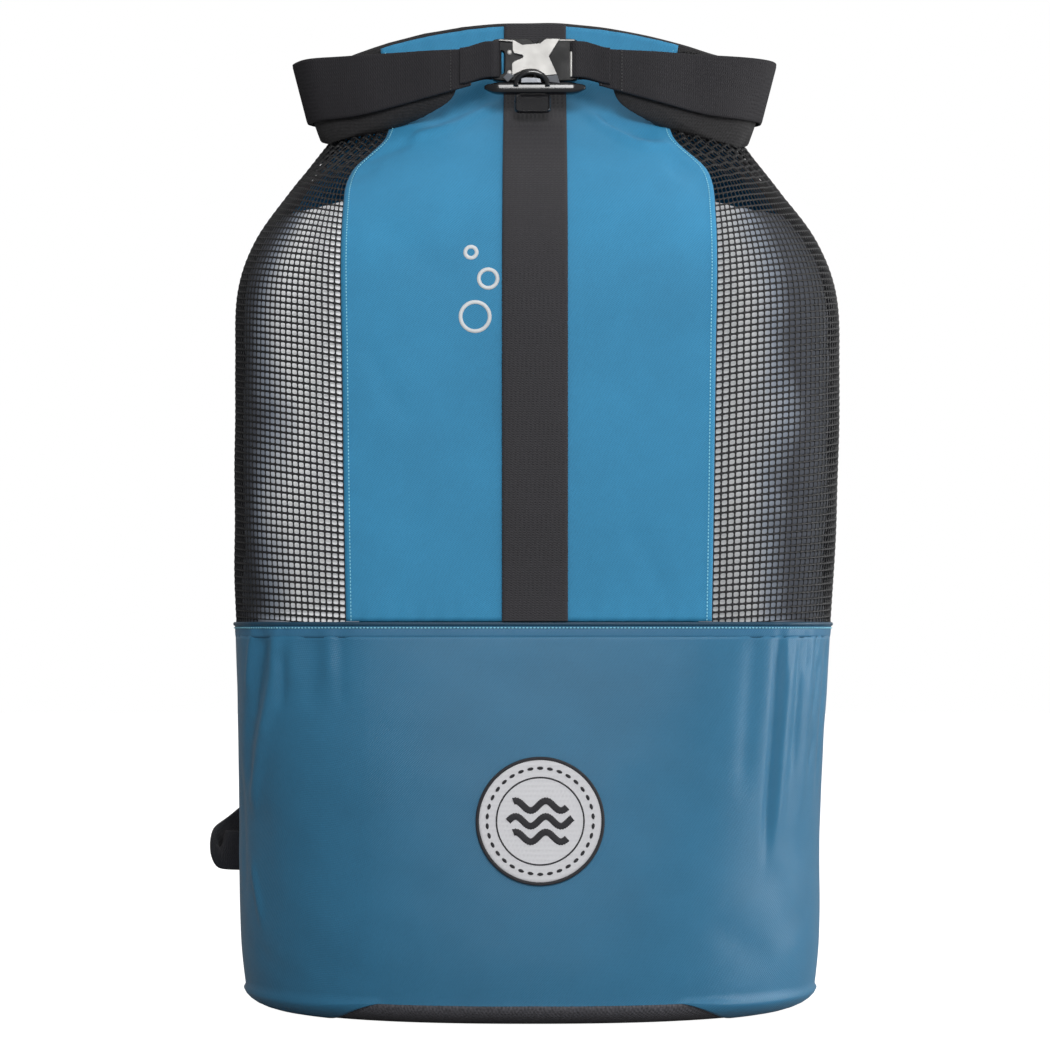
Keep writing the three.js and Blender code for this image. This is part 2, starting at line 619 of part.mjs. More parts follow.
// Strap loops: webbing folded round each end bar of the buckle, its tails either side of the belt's end.
function buildStrapLoop(name, side) {
  const barMiddle = buckleWidth / 2 - barWidth / 2;
  const inside = Math.hypot(buckleThick, barWidth) / 2 + seamGap;
  const reach = inside + webbingThick;
  const pinch = webbingThick / 2 + 3 * seamGap;
  const turn = new THREE.Shape();
  turn.moveTo(loopTail, -pinch - webbingThick);
  turn.lineTo(loopTail * 0.55, -pinch - webbingThick);
  turn.lineTo(0, -reach);
  turn.absarc(0, 0, reach, -Math.PI / 2, Math.PI / 2, true);
  turn.lineTo(loopTail * 0.55, pinch + webbingThick);
  turn.lineTo(loopTail, pinch + webbingThick);
  turn.lineTo(loopTail, pinch);
  turn.lineTo(loopTail * 0.55, pinch);
  turn.lineTo(0, inside);
  turn.absarc(0, 0, inside, Math.PI / 2, -Math.PI / 2, false);
  turn.lineTo(loopTail * 0.55, -pinch);
  turn.lineTo(loopTail, -pinch);
  const tall = slotTall - 2 * seamGap;
  const geometry = new THREE.ExtrudeGeometry(turn, { depth: tall, bevelEnabled: false, curveSegments: 6 });
  const mesh = place(name, geometry, finishes.webbing);
  mesh.rotation.y = side < 0 ? Math.PI : 0;
  const y = buckleBack - buckleThick / 2;
  mesh.position.set(side * barMiddle, y, buckleMiddle + (side < 0 ? tall / 2 : -tall / 2));
}

// The webbing down the middle of the front, from the ridge to the hem.
function buildFrontStrap() {
  const lift = 2 * seamGap + webbingThick / 2;
  const rings = [...bodyRows, bagHeight - ridgeProud].map((z) => {
    const centre = frontSpot(0, z, lift);
    const normal = frontSpot(0, z, 1).sub(frontSpot(0, z, 0)).normalize();
    return ringAt(strip, centre, point(1, 0, 0), normal, webbingWidth, webbingThick);
  });
  loft("front_strap", rings, finishes.webbing);
}

// The round patch and its stitched border, laid on the band.
function buildPatch() {
  const around = spread(0, 2 * Math.PI, 28).slice(0, -1);
  const ring = (radius, lift) =>
    around.map((a) => frontSpot(patchSide + radius * Math.sin(a), patchHeight + radius * Math.cos(a), lift));
  const lift = seamGap + 0.4;
  const disc = patchRadius - 2 * patchBorder - seamGap;
  const radii = [0.3, 0.65, 1].map((share) => share * disc);
  loft("round_patch", [
    ...radii.map((radius) => ring(radius, lift)),
    ...radii.slice().reverse().map((radius) => ring(radius, lift + patchThick)),
  ], finishes.patch);
  const rings = around.map((a) => {
    const out = point(Math.sin(a), 0, Math.cos(a));
    const middle = patchRadius - patchBorder;
    const x = patchSide + middle * Math.sin(a);
    const centre = frontSpot(x, patchHeight + middle * Math.cos(a), lift + patchBorder);
    return ringAt(rounded(6, 2), centre, out, point(0, 1, 0), 2 * patchBorder, 2 * patchBorder);
  });
  hoop("patch_border", rings, finishes.border);
}

// Shoulder straps: a pad from the back's shoulder, an adjuster, webbing and a wing sewn to the band's side.
function buildShoulderStrap(label, side, slack) {
  const padStations = spread(0, 1, 14).map((share) => {
    const x = side * mix(padTopSpread, padFootSpread, share);
    const z = mix(padTop, padFoot, share);
    const bow = padBow * Math.sin(Math.PI * share ** 0.8) + padFootLift * share;
    return backSpot(x, z, seamGap + padThick / 2 + bow);
  });
  const padCurve = new THREE.CatmullRomCurve3(padStations);
  const pad = spread(0, 1, 14).map((share) => {
    const tangent = padCurve.getTangentAt(share);
    const across = point(1, 0, 0).addScaledVector(tangent, -tangent.x).normalize();
    const normal = across.clone().cross(tangent).normalize();
    const width = padWidth * mix(1, 0.74, smooth(share, 0.55, 1));
    return ringAt(rounded(8, 3.2), padCurve.getPointAt(share), across, normal, width, padThick);
  });
  loft(`${label}_shoulder_pad`, pad, finishes.pad);

  const foot = padCurve.getPointAt(1);
  const adjusterMiddle = foot.z - adjusterDrop - adjusterTall / 2;
  const adjuster = roundedShape(adjusterWidth, adjusterTall, 3);
  [-1, 1].forEach((end) =>
    adjuster.holes.push(roundedShape(sideWebbing + 2, 4, 1, 0, end * 6.5, THREE.Path)));
  const adjusterFront = foot.y + adjusterThick + seamGap;
  const plastic = finishes.plastic;
  plateAt(`${label}_adjuster`, adjuster, adjusterThick, foot.x, adjusterFront, adjusterMiddle, plastic);

  const wingRoot = skin(side * radians(wingAngle), wingHeight, -wingThick / 2 - 4 * seamGap);
  const wingEnd = skin(side * radians(wingAngle + 6), wingHeight, -wingLong);
  const outward = wingEnd.clone().sub(wingRoot).normalize();
  const threaded = foot.y - webbingThick / 2 - seamGap;
  const route = new THREE.CatmullRomCurve3([
    point(foot.x, threaded, foot.z - 3),
    point(foot.x, threaded, adjusterMiddle),
    point(foot.x, threaded, adjusterMiddle - adjusterTall / 2),
    point(foot.x, threaded, adjusterMiddle - adjusterTall / 2 - webbingLead),
    backSpot(side * turnSpread, turnHeight, turnLift),
    ...sideRoute.map(({ angle, rise, off }) => {
      const height = mix(wingHeight, turnHeight, mix(...rise, slack));
      return skin(side * radians(mix(...angle, slack)), height, -slackReach * mix(...off, slack));
    }),
    wingEnd.clone().addScaledVector(outward, 6),
    wingEnd.clone().addScaledVector(outward, 3 * seamGap),
  ]);
  const webbing = spread(0, 1, 20).map((share) => {
    const tangent = route.getTangentAt(share);
    const spot = route.getPointAt(share);
    const outward = point(spot.x, spot.y, 0).normalize();
    const facing = point(0, 1, 0).lerp(outward, smooth(share, 0.2, 0.6));
    const across = tangent.clone().cross(facing).normalize();
    const normal = across.clone().cross(tangent).normalize();
    return ringAt(strip, spot, across, normal, sideWebbing, webbingThick);
  });
  loft(`${label}_side_webbing`, webbing, finishes.webbing);

  const across = point(0, 0, 1);
  const flat = outward.clone().cross(across).normalize();
  const wing = spread(0, 1, 3).map((share) => {
    const centre = wingRoot.clone().lerp(wingEnd, share);
    return ringAt(strip, centre, across, flat, mix(wingTall, sideWebbing, share), wingThick);
  });
  loft(`${label}_wing`, wing, finishes.band);
}

buildBase();
buildBand();
buildPanels();
buildNet("left_net", -1);
buildNet("right_net", 1);
buildLining("left_lining", -1);
buildLining("right_lining", 1);
buildRoll();
buildRollEnd("left_roll_end", -1);
buildRollEnd("right_roll_end", 1);
buildBelt();
buildBuckle();
buildStrapLoop("left_strap_loop", -1);
buildStrapLoop("right_strap_loop", 1);
buildFrontStrap();
buildPatch();
buildShoulderStrap("left", -1, leftSlack);
buildShoulderStrap("right", 1, rightSlack);

export default bag;
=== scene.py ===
# %% [markdown]
# # A roll-top mesh gear backpack
# This lesson dresses the plain solids of a tall backpack: blue cloth panels, net sides over a pale
# lining, a ribbed strap up the front, and a rolled top held by a belt and a buckle. All lengths are in
# millimetres, and one helper turns them into Blender's metres as it makes a mesh.

import bpy
import numpy as np
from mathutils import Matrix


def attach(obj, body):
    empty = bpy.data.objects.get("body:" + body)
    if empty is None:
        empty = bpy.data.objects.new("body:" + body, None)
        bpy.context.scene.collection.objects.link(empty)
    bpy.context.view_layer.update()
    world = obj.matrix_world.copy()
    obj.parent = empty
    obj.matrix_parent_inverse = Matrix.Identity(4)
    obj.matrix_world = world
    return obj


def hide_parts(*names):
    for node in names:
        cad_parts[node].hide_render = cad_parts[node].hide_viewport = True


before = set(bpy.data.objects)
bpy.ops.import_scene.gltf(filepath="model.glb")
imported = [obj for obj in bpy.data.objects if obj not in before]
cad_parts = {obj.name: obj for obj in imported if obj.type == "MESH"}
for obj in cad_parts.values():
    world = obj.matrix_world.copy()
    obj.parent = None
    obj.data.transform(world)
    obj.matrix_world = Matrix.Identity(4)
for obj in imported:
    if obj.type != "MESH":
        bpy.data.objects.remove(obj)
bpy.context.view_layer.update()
SIDES = ((-1, "left"), (1, "right"))
MM = 0.001
print("nodes in the frame:", len(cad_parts))

# %% [markdown]
# The camera comes first. The bag is seen square on, from the height of the hem, 1.8 m away, so the hem
# draws as a straight line. The small shifts slide the picture on the sensor without tilting the camera.

# %% The camera
camera_data = bpy.data.cameras.new("camera")
camera_data.lens, camera_data.sensor_width = 99.53, 36
camera_data.shift_x, camera_data.shift_y = -0.0095, 0.0971
camera = bpy.data.objects.new("camera", camera_data)
camera.location = (0, -1.8, 0.233)
camera.rotation_euler = (np.pi / 2, 0, 0)
bpy.context.scene.collection.objects.link(camera)
bpy.context.scene.camera = camera

# %% [markdown]
# Every mesh is made by one helper from whole arrays: points in millimetres, and faces of three or four
# corners. A closed form that comes out inside out is turned, which its signed volume tells.

# %% From arrays to a finished piece
def as_faces(faces):
    """Faces as a list of arrays, one array for each number of corners."""
    return faces if isinstance(faces, list) else [faces]


def signed_volume(points, faces):
    """Sum over triangles of a . (b x c) / 6, which is positive when the faces point outwards."""
    total = 0.0
    for group in as_faces(faces):
        for k in range(1, group.shape[1] - 1):
            a, b, c = points[group[:, 0]], points[group[:, k]], points[group[:, k + 1]]
            total += np.einsum("ij,ij->", a, np.cross(b, c)) / 6
    return total


def piece(name, points, faces, material, uv=None, stands_for=(), closed=False):
    """A mesh object from points in millimetres; uv has one pair for each point, also in millimetres."""
    points = np.asarray(points, float).reshape(-1, 3)
    groups = [np.asarray(g, int) for g in as_faces(faces)]
    if closed and signed_volume(points, groups) < 0:
        groups = [g[:, ::-1] for g in groups]
    corners = np.concatenate([g.ravel() for g in groups])
    sizes = np.concatenate([np.full(len(g), g.shape[1]) for g in groups])
    mesh = bpy.data.meshes.new(name)
    mesh.vertices.add(len(points))
    mesh.vertices.foreach_set("co", (points * MM).ravel())
    mesh.loops.add(len(corners))
    mesh.loops.foreach_set("vertex_index", corners)
    mesh.polygons.add(len(sizes))
    mesh.polygons.foreach_set("loop_start", np.r_[0, np.cumsum(sizes)[:-1]])
    mesh.update(calc_edges=True)
    mesh.polygons.foreach_set("use_smooth", np.ones(len(sizes), bool))
    if uv is not None:
        layer = mesh.uv_layers.new(name="thread")
        layer.uv.foreach_set("vector", (np.asarray(uv, float).reshape(-1, 2)[corners] * MM).ravel())
    mesh.validate()
    mesh.materials.append(material)
    made = bpy.data.objects.new(name, mesh)
    bpy.context.scene.collection.objects.link(made)
    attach(made, "root")
    if stands_for:
        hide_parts(*stands_for)
    return made


def modifier(made, kind, **values):
    """Adds a modifier and sets its values."""
    added = made.modifiers.new(kind.lower(), kind)
    for key, value in values.items():
        setattr(added, key, value)
    return added


def grid_faces(rows, columns, wrap=False):
    """Quads of a grid of points, column by column along each row; wrap joins the last column to the first."""
    r, c = np.meshgrid(np.arange(rows - 1), np.arange(columns if wrap else columns - 1), indexing="ij")
    n = (c + 1) % columns
    return np.stack([r * columns + c, r * columns + n, (r + 1) * columns + n, (r + 1) * columns + c], -1).reshape(-1, 4)


def lengths_along(points, axis):
    """Distance run along a grid of points, from its first point on that axis."""
    step = np.linalg.norm(np.diff(points, axis=axis), axis=-1)
    start = np.zeros_like(np.take(step, [0], axis))
    return np.concatenate([start, np.cumsum(step, axis)], axis)


def thread_uv(points):
    """A map of cloth: across by the length of each row, up by the length of each column."""
    across = lengths_along(points, 1)
    return np.stack([across - across[:, across.shape[1] // 2][:, None], lengths_along(points, 0)], -1)


# %% [markdown]
# Cloth is woven, and the weave is what makes a flat colour read as cloth. One group makes a weave's height
# and a thread mask from the cloth's own map, and another makes the slow unevenness of dye and handling.
# Both are used with their own values by every cloth in the bag.

# %% Two shader groups: a weave and a slow mottle
def new_group(name, inputs, outputs):
    """A node group with float inputs and outputs, and its two end nodes."""
    group = bpy.data.node_groups.new(name, "ShaderNodeTree")
    for label, kind, value in inputs:
        socket = group.interface.new_socket(label, in_out="INPUT", socket_type=kind)
        if value is not None:
            socket.default_value = value
    for label, kind in outputs:
        group.interface.new_socket(label, in_out="OUTPUT", socket_type=kind)
    return group, group.nodes.new("NodeGroupInput"), group.nodes.new("NodeGroupOutput")


def feed(tree, socket, value):
    """Another node's output is linked to the socket, and anything else becomes the socket's own value."""
    if isinstance(value, bpy.types.NodeSocket):
        tree.links.new(value, socket)
    else:
        socket.default_value = value


def calc(tree, operation, *values):
    """A Math node; gives its output."""
    node = tree.nodes.new("ShaderNodeMath")
    node.operation = operation
    for socket, value in zip(node.inputs, values):
        feed(tree, socket, value)
    return node.outputs[0]


def ranged(tree, value, *ends):
    """A Map Range node; the ends are from low, from high, to low and to high. Gives its output."""
    node = tree.nodes.new("ShaderNodeMapRange")
    for socket, given in zip(node.inputs, (value, *ends)):
        feed(tree, socket, given)
    return node.outputs[0]


def parts_of(tree, vector):
    """The x, y and z of a vector, as outputs."""
    node = tree.nodes.new("ShaderNodeSeparateXYZ")
    tree.links.new(vector, node.inputs[0])
    return node.outputs


def thread_map(tree):
    """The cloth's own map, as an output."""
    node = tree.nodes.new("ShaderNodeUVMap")
    node.uv_map = "thread"
    return node.outputs[0]


def place_in(tree, kind="Object"):
    """A place on the object or in the sky, as an output."""
    return tree.nodes.new("ShaderNodeTexCoord").outputs[kind]


FLOAT, VECTOR = "NodeSocketFloat", "NodeSocketVector"
weave_group, weave_in, weave_out = new_group(
    "weave",
    [("Map", VECTOR, None), ("Across", FLOAT, 900.0), ("Up", FLOAT, 900.0), ("Slant", FLOAT, 0.0)],
    [("Height", FLOAT), ("Thread", FLOAT)],
)
map_u, map_v, _ = parts_of(weave_group, weave_in.outputs["Map"])
turn_u = calc(weave_group, "MULTIPLY", map_u, weave_in.outputs["Across"])
turn_v = calc(weave_group, "MULTIPLY", map_v, weave_in.outputs["Up"])
turn_u = calc(weave_group, "ADD", turn_u, calc(weave_group, "MULTIPLY", turn_v, weave_in.outputs["Slant"]))
over = calc(weave_group, "MULTIPLY", calc(weave_group, "SINE", turn_u), calc(weave_group, "COSINE", turn_v))
ribs = calc(weave_group, "ABSOLUTE", calc(weave_group, "SINE", turn_v))
weave_group.links.new(calc(weave_group, "MULTIPLY_ADD", over, 0.5, 0.5), weave_out.inputs["Thread"])
weave_height = calc(weave_group, "MULTIPLY_ADD", ribs, 0.5, over)
weave_group.links.new(weave_height, weave_out.inputs["Height"])

mottle_group, mottle_in, mottle_out = new_group(
    "mottle",
    [("Place", VECTOR, None), ("Scale", FLOAT, 20.0), ("Least", FLOAT, 0.9), ("Most", FLOAT, 1.1)],
    [("Value", FLOAT)],
)
cloud = mottle_group.nodes.new("ShaderNodeTexNoise")
cloud.inputs["Detail"].default_value = 4
cloud.inputs["Roughness"].default_value = 0.6
mottle_group.links.new(mottle_in.outputs["Place"], cloud.inputs["Vector"])
mottle_group.links.new(mottle_in.outputs["Scale"], cloud.inputs["Scale"])
level = ranged(mottle_group, cloud.outputs[0], 0.3, 0.7, mottle_in.outputs["Least"], mottle_in.outputs["Most"])
mottle_group.links.new(level, mottle_out.inputs["Value"])


# %% A recipe for cloth, and the bag's cloths
def material(name, colour, roughness, metallic=0.0, **sockets):
    """A Principled material; extra sockets are set by name. Gives the material, its tree and its shader."""
    made = bpy.data.materials.new(name)
    made.use_nodes = True
    shader = made.node_tree.nodes["Principled BSDF"]
    shader.inputs["Base Color"].default_value = (*colour, 1)
    shader.inputs["Roughness"].default_value = roughness
    shader.inputs["Metallic"].default_value = metallic
    for key, value in sockets.items():
        shader.inputs[key.replace("_", " ")].default_value = value
    return made, made.node_tree, shader


def in_group(tree, group, **values):
    """Places a node group and feeds its inputs by name."""
    node = tree.nodes.new("ShaderNodeGroup")
    node.node_tree = group
    for key, value in values.items():
        feed(tree, node.inputs[key], value)
    return node


def scaled_colour(tree, colour, *factors):
    """A colour times one or more values, by Vector Math."""
    for factor in factors:
        node = tree.nodes.new("ShaderNodeVectorMath")
        node.operation = "SCALE"
        feed(tree, node.inputs[0], colour)
        feed(tree, node.inputs["Scale"], factor)
        colour = node.outputs[0]
    return colour


def bump(tree, shader, height, strength, distance):
    """Height in, bumped normal into the shader."""
    node = tree.nodes.new("ShaderNodeBump")
    for key, value in (("Strength", strength), ("Distance", distance), ("Height", height)):
        feed(tree, node.inputs[key], value)
    tree.links.new(node.outputs[0], shader.inputs["Normal"])


def cloth_material(name, colour, roughness, threads, slant=0.0, depth=0.00012, contrast=0.12,
                   mottle=(18, 0.93, 1.07), speckle=(900, 0.95, 1.05), rim=None, **sockets):
    """Woven cloth: threads per mm (across, up) on its own map; rim = (from, to, factor) up that map, in mm, darkens the
    colour there as painted shade.
    """
    made, tree, shader = material(name, colour, roughness, **sockets)
    own_map, place = thread_map(tree), place_in(tree)
    turns = np.multiply(threads, np.pi / MM)
    weave = in_group(tree, weave_group, Map=own_map, Across=turns[0], Up=turns[1], Slant=slant)
    factors = [calc(tree, "MULTIPLY_ADD", weave.outputs["Thread"], contrast, 1 - contrast / 2)]
    for scale, least, most in (mottle, speckle):
        factors.append(in_group(tree, mottle_group, Place=place, Scale=scale, Least=least, Most=most).outputs[0])
    # The rim darkens the colour between two heights: painted shade.
    if rim:
        factors.append(ranged(tree, parts_of(tree, own_map)[1], rim[0] * MM, rim[1] * MM, 1.0, rim[2]))
    tinted = scaled_colour(tree, colour, *factors)
    tree.links.new(tinted, shader.inputs["Base Color"])
    bump(tree, shader, weave.outputs["Height"], 0.5, depth)
    return made


panel_cloth = cloth_material("panel_cloth", (0.043, 0.275, 0.5), 0.62, (1.1, 1.1), slant=0.5, Sheen_Weight=0.1,
                             Sheen_Roughness=0.4, Specular_IOR_Level=0.25)
band_cloth = cloth_material("band_cloth", (0.034, 0.18, 0.325), 0.38, (1.3, 1.3), slant=0.5, contrast=0.1,
                            Sheen_Weight=0.03, Sheen_Roughness=0.4, Specular_IOR_Level=0.42)
# The hem's rolled edge is darkened by the rim: painted shade.
hem_cloth = cloth_material("hem_cloth", (0.043, 0.185, 0.335), 0.4, (1.3, 1.3), slant=0.5, contrast=0.1,
                           rim=(6.6, 7.4, 0.35), Specular_IOR_Level=0.4)
base_cloth = cloth_material("base_cloth", (0.075, 0.073, 0.083), 0.8, (0.9, 0.9), contrast=0.35,
                            speckle=(700, 0.55, 1.5), depth=0.0003)
roll_cloth = cloth_material("roll_cloth", (0.018, 0.0172, 0.0184), 0.85, (1.0, 1.0), slant=1.0, contrast=0.3,
                            speckle=(800, 0.6, 1.5), depth=0.0003, Sheen_Weight=0.05)
pad_cloth = cloth_material("pad_cloth", (0.02, 0.02, 0.022), 0.85, (0.35, 0.35), slant=1.0, contrast=0.4,
                           depth=0.0006, Sheen_Weight=0.2)
webbing_cloth = cloth_material("webbing", (0.026, 0.0245, 0.029), 0.72, (0.8, 1.4), contrast=0.25,
                               speckle=(800, 0.85, 1.15), depth=0.0002, Sheen_Weight=0.08)
belt_cloth = cloth_material("belt_webbing", (0.026, 0.0247, 0.028), 0.7, (0.8, 1.4), contrast=0.25,
                            speckle=(800, 0.85, 1.15), depth=0.0002, Specular_IOR_Level=0.25)
thread_cloth = cloth_material("thread", (0.33, 0.78, 0.92), 0.6, (2.0, 2.0), contrast=0.1)
dark_thread = cloth_material("dark_thread", (0.05, 0.048, 0.05), 0.6, (2.0, 2.0), contrast=0.1)
net_cord, cord_tree, cord_shader = material("net_cord", (0.01, 0.01, 0.011), 0.5)
cord_place = place_in(cord_tree)
filaments = in_group(cord_tree, mottle_group, Place=cord_place, Scale=2600.0, Least=0.4, Most=1.9)
worn = in_group(cord_tree, mottle_group, Place=cord_place, Scale=40.0, Least=0.8, Most=1.25)
cord_colour = scaled_colour(cord_tree, (0.01, 0.01, 0.011), filaments.outputs[0], worn.outputs[0])
cord_tree.links.new(cord_colour, cord_shader.inputs["Base Color"])
bump(cord_tree, cord_shader, filaments.outputs[0], 0.5, 0.00008)
print("cloth materials:", len(bpy.data.materials))

# %% [markdown]
# The bag's body is one smooth form: at each height a rounded oval, and the heights follow short tables. A
# depth moves a point in along the cloth's own normal, so the layers of cloth lie behind each other.

# %% The body as a function of angle and height
BAG_HEIGHT, BODY_WIDTH, BODY_DEPTH = 604, 366, 250
NECK_WIDTH, TOP_FRONT, TOP_BACK, ARCH_DROP = 236, 16, 13, 21
BASE_SEAM, BAND_TOP, HEM_TALL = 14, 228, 8
PANEL_WIDTH, PANEL_OFFSET, REAR_SEAM = 216, -3.5, 100
UPPER_FOOT, RIDGE = BAND_TOP + HEM_TALL + 0.3, BAG_HEIGHT - 1.6
BASE_CURL, BACK_TOP, GATHER_FOOT, GATHER_TOP = 30.0, 558.4, 486, 556
# Columns after the height's share: widths, front and back reach, lean, and the oval's powers behind and in front.
WIDE, FRONT, BACK, LEAN, SQUARE, FLAT = range(1, 7)
SECTIONS = np.array([
    (0.0, 0.86, 0.955, 0.937, -0.008, 2.25, 2.25), (0.07, 0.928, 0.99, 0.964, -0.008, 2.3, 2.35),
    (0.18, 0.926, 1.0, 0.973, -0.009, 2.35, 2.7), (0.3, 0.946, 1.0, 0.98, -0.006, 2.35, 3.3),
    (0.39, 0.97, 1.0, 0.985, -0.003, 2.4, 3.7), (0.5, 1.0, 1.01, 0.985, 0.001, 2.45, 4.0),
    (0.65, 1.01, 1.01, 0.985, 0.004, 2.5, 4.0), (0.72, 0.99, 0.995, 0.97, 0.003, 2.5, 3.8),
    (0.773, 0.838, 0.915, 0.9, 0.001, 2.45, 3.2), (0.825, 0.523, 0.73, 0.76, 0.0, 2.4, 2.7),
    (0.876, 0.17, 0.43, 0.45, 0.0, 2.4, 2.4), (0.906, 0.04, 0.24, 0.22, 0.0, 2.6, 2.6),
    (0.93, 0.0, 0.13, 0.07, 0.0, 2.9, 2.9), (0.965, 0.0, 0.045, 0.0, 0.0, 3.2, 3.2),
    (1.0, 0.0, 0.0, 0.0, 0.0, 3.4, 3.4),
])
PANEL_EDGE = np.array([(0.3, 0.97), (0.39, 0.98), (0.65, 1.0), (0.79, 1.01), (0.835, 0.98), (0.875, 0.8),
                       (0.93, 0.8), (1.0, 0.85)])


def along(table, column, where):
    """A smooth curve through a table's rows: a cubic between rows, with the neighbours' slope at each row."""
    x, y = table[:, 0], table[:, column]
    after, before = np.r_[1:len(x), len(x) - 1], np.r_[0, 0:len(x) - 1]
    slope = (y[after] - y[before]) / (x[after] - x[before])
    i = np.clip(np.searchsorted(x, where) - 1, 0, len(x) - 2)
    span, rise = x[i + 1] - x[i], y[i + 1] - y[i]
    t = (where - x[i]) / span
    bend = 3 * rise - (2 * slope[i] + slope[i + 1]) * span
    return y[i] + t * (slope[i] * span + t * (bend + t * (rise - slope[i] * span - bend)))


def smooth(value, low, high):
    """0 below low, 1 above high, and 3t^2 - 2t^3 between."""
    t = np.clip((value - low) / (high - low), 0, 1)
    return t * t * (3 - 2 * t)


def signed_power(value, power):
    """|value|^power, with the value's own sign."""
    return np.sign(value) * np.abs(value) ** power


def half_width(share):
    """Half the body's width at a share of the bag's height."""
    return NECK_WIDTH / 2 + (BODY_WIDTH - NECK_WIDTH) / 2 * along(SECTIONS, WIDE, share)


def panel_half(z):
    """Half the front panel's width at a height."""
    return along(PANEL_EDGE, 1, np.asarray(z, float) / BAG_HEIGHT) * PANEL_WIDTH / 2


def bare_skin(angle, z):
    """x = half |sin a|^(2/n), y = -reach |cos a|^(2/n), n being FLAT in front; the top drops towards its ends."""
    share = z / BAG_HEIGHT
    front = TOP_FRONT + (BODY_DEPTH / 2 - TOP_FRONT) * along(SECTIONS, FRONT, share)
    back = TOP_BACK + (BODY_DEPTH / 2 - TOP_BACK) * along(SECTIONS, BACK, share)
    ahead = np.cos(angle) > 0
    power = 2 / np.where(ahead, along(SECTIONS, FLAT, share), along(SECTIONS, SQUARE, share))
    x = half_width(share) * signed_power(np.sin(angle), power)
    y = -np.where(ahead, front, back) * signed_power(np.cos(angle), power)
    drop = ARCH_DROP * (x / (NECK_WIDTH / 2)) ** 2 * smooth(share, 0.86, 1)
    return np.stack([x + along(SECTIONS, LEAN, share) * BODY_WIDTH, y, z - drop], -1)


def skin(angle, z, depth=0.0):
    """bare_skin, moved in by depth along the unit normal of its two tangents."""
    angle, z = np.broadcast_arrays(np.asarray(angle, float), np.asarray(z, float))
    around = bare_skin(angle + 0.01, z) - bare_skin(angle - 0.01, z)
    upward = bare_skin(angle, z + 0.5) - bare_skin(angle, z - 0.5)
    inward = np.cross(upward, around)
    inward /= np.linalg.norm(inward, axis=-1, keepdims=True)
    return bare_skin(angle, z) + inward * np.asarray(depth)[..., None]


def angle_at(x, z, on_back=False):
    """The angle whose point lies x to the side of the middle plane."""
    share = np.asarray(z, float) / BAG_HEIGHT
    part = (x - along(SECTIONS, LEAN, share) * BODY_WIDTH) / half_width(share)
    power = along(SECTIONS, SQUARE if on_back else FLAT, share) / 2
    turned = np.sign(part) * np.arcsin(np.minimum(1, np.abs(part)) ** power)
    return np.pi - turned if on_back else turned


def panel_angle(side, z):
    """The angle of the front panel's edge on one side."""
    return angle_at(PANEL_OFFSET + side * panel_half(z), z)


# %% [markdown]
# Equal angles make unequal steps on a squarish oval: long across the flat front and short at the corners.
# Cloth is measured along itself, so a table holds the length run round the outline at many heights, and two
# functions turn an angle into a length of cloth and back.

# %% Lengths of cloth round the body
LEVELS, QUARTERS = np.linspace(BASE_SEAM, RIDGE, 160), np.linspace(0, 2, 401)


def warped(t):
    """Angle pi/2 for each whole t, gathered near them: the part p between becomes p^4 / (p^4 + (1 - p)^4)."""
    whole = np.minimum(np.floor(t), 1)
    part = t - whole
    return (whole + part ** 4 / (part ** 4 + (1 - part) ** 4)) * np.pi / 2


RUN = lengths_along(bare_skin(warped(QUARTERS)[None], LEVELS[:, None]), 1)
BACKWARD = np.array([np.interp(np.linspace(0, 1, 601) * run[-1], run, QUARTERS) for run in RUN])


def between(table, z, place):
    """A table's value at a height and at a place from 0 to 1 along its rows, linear both ways."""
    level = np.clip((z - LEVELS[0]) / (LEVELS[-1] - LEVELS[0]), 0, 1) * (len(LEVELS) - 1)
    place = np.clip(place, 0, 1) * (table.shape[1] - 1)
    i, j = np.minimum(level.astype(int), len(LEVELS) - 2), np.minimum(place.astype(int), table.shape[1] - 2)
    a, b = level - i, place - j
    low = (1 - b) * table[i, j] + b * table[i, j + 1]
    return (1 - a) * low + a * ((1 - b) * table[i + 1, j] + b * table[i + 1, j + 1])


def girth(z):
    """Half the length round the outline, from the middle of the front to the middle of the back."""
    return np.interp(z, LEVELS, RUN[:, -1])


def angle_of(run, z):
    """The angle that lies a length of cloth round from the middle of the front."""
    run, z = np.broadcast_arrays(np.asarray(run, float), np.asarray(z, float))
    return np.sign(run) * warped(between(BACKWARD, z, np.abs(run) / girth(z)))


def run_of(angle, z):
    """The length of cloth from the middle of the front round to an angle from 0 to pi."""
    angle, z = np.broadcast_arrays(np.asarray(angle, float), np.asarray(z, float))
    whole = np.minimum(np.floor(angle * 2 / np.pi), 1)
    part = np.clip(angle * 2 / np.pi - whole, 0, 0.999999)
    ratio = (part / (1 - part)) ** 0.25
    return between(RUN, z, (whole + ratio / (1 + ratio)) / 2)


# %% [markdown]
# Real cloth never lies as smooth as its pattern. Each crease here is a soft valley or ridge along a short
# line on the cloth, whose depth falls off to both sides, and slow waves fill the rest.

# %% Creases and waves
def creases(table, across, up):
    """Sum of depth * exp(-(d / width)^2), d being the distance to the crease's line, fading at both ends."""
    total = np.zeros(np.broadcast(across, up).shape)
    for a0, z0, a1, z1, depth, width in table:
        run = np.array([a1 - a0, z1 - z0])
        length = np.hypot(*run)
        t = ((across - a0) * run[0] + (up - z0) * run[1]) / length ** 2
        d = ((across - a0) * run[1] - (up - z0) * run[0]) / length
        total += depth * np.exp(-(d / width) ** 2) * smooth(t, -0.12, 0.2) * (1 - smooth(t, 0.75, 1.12))
    return total


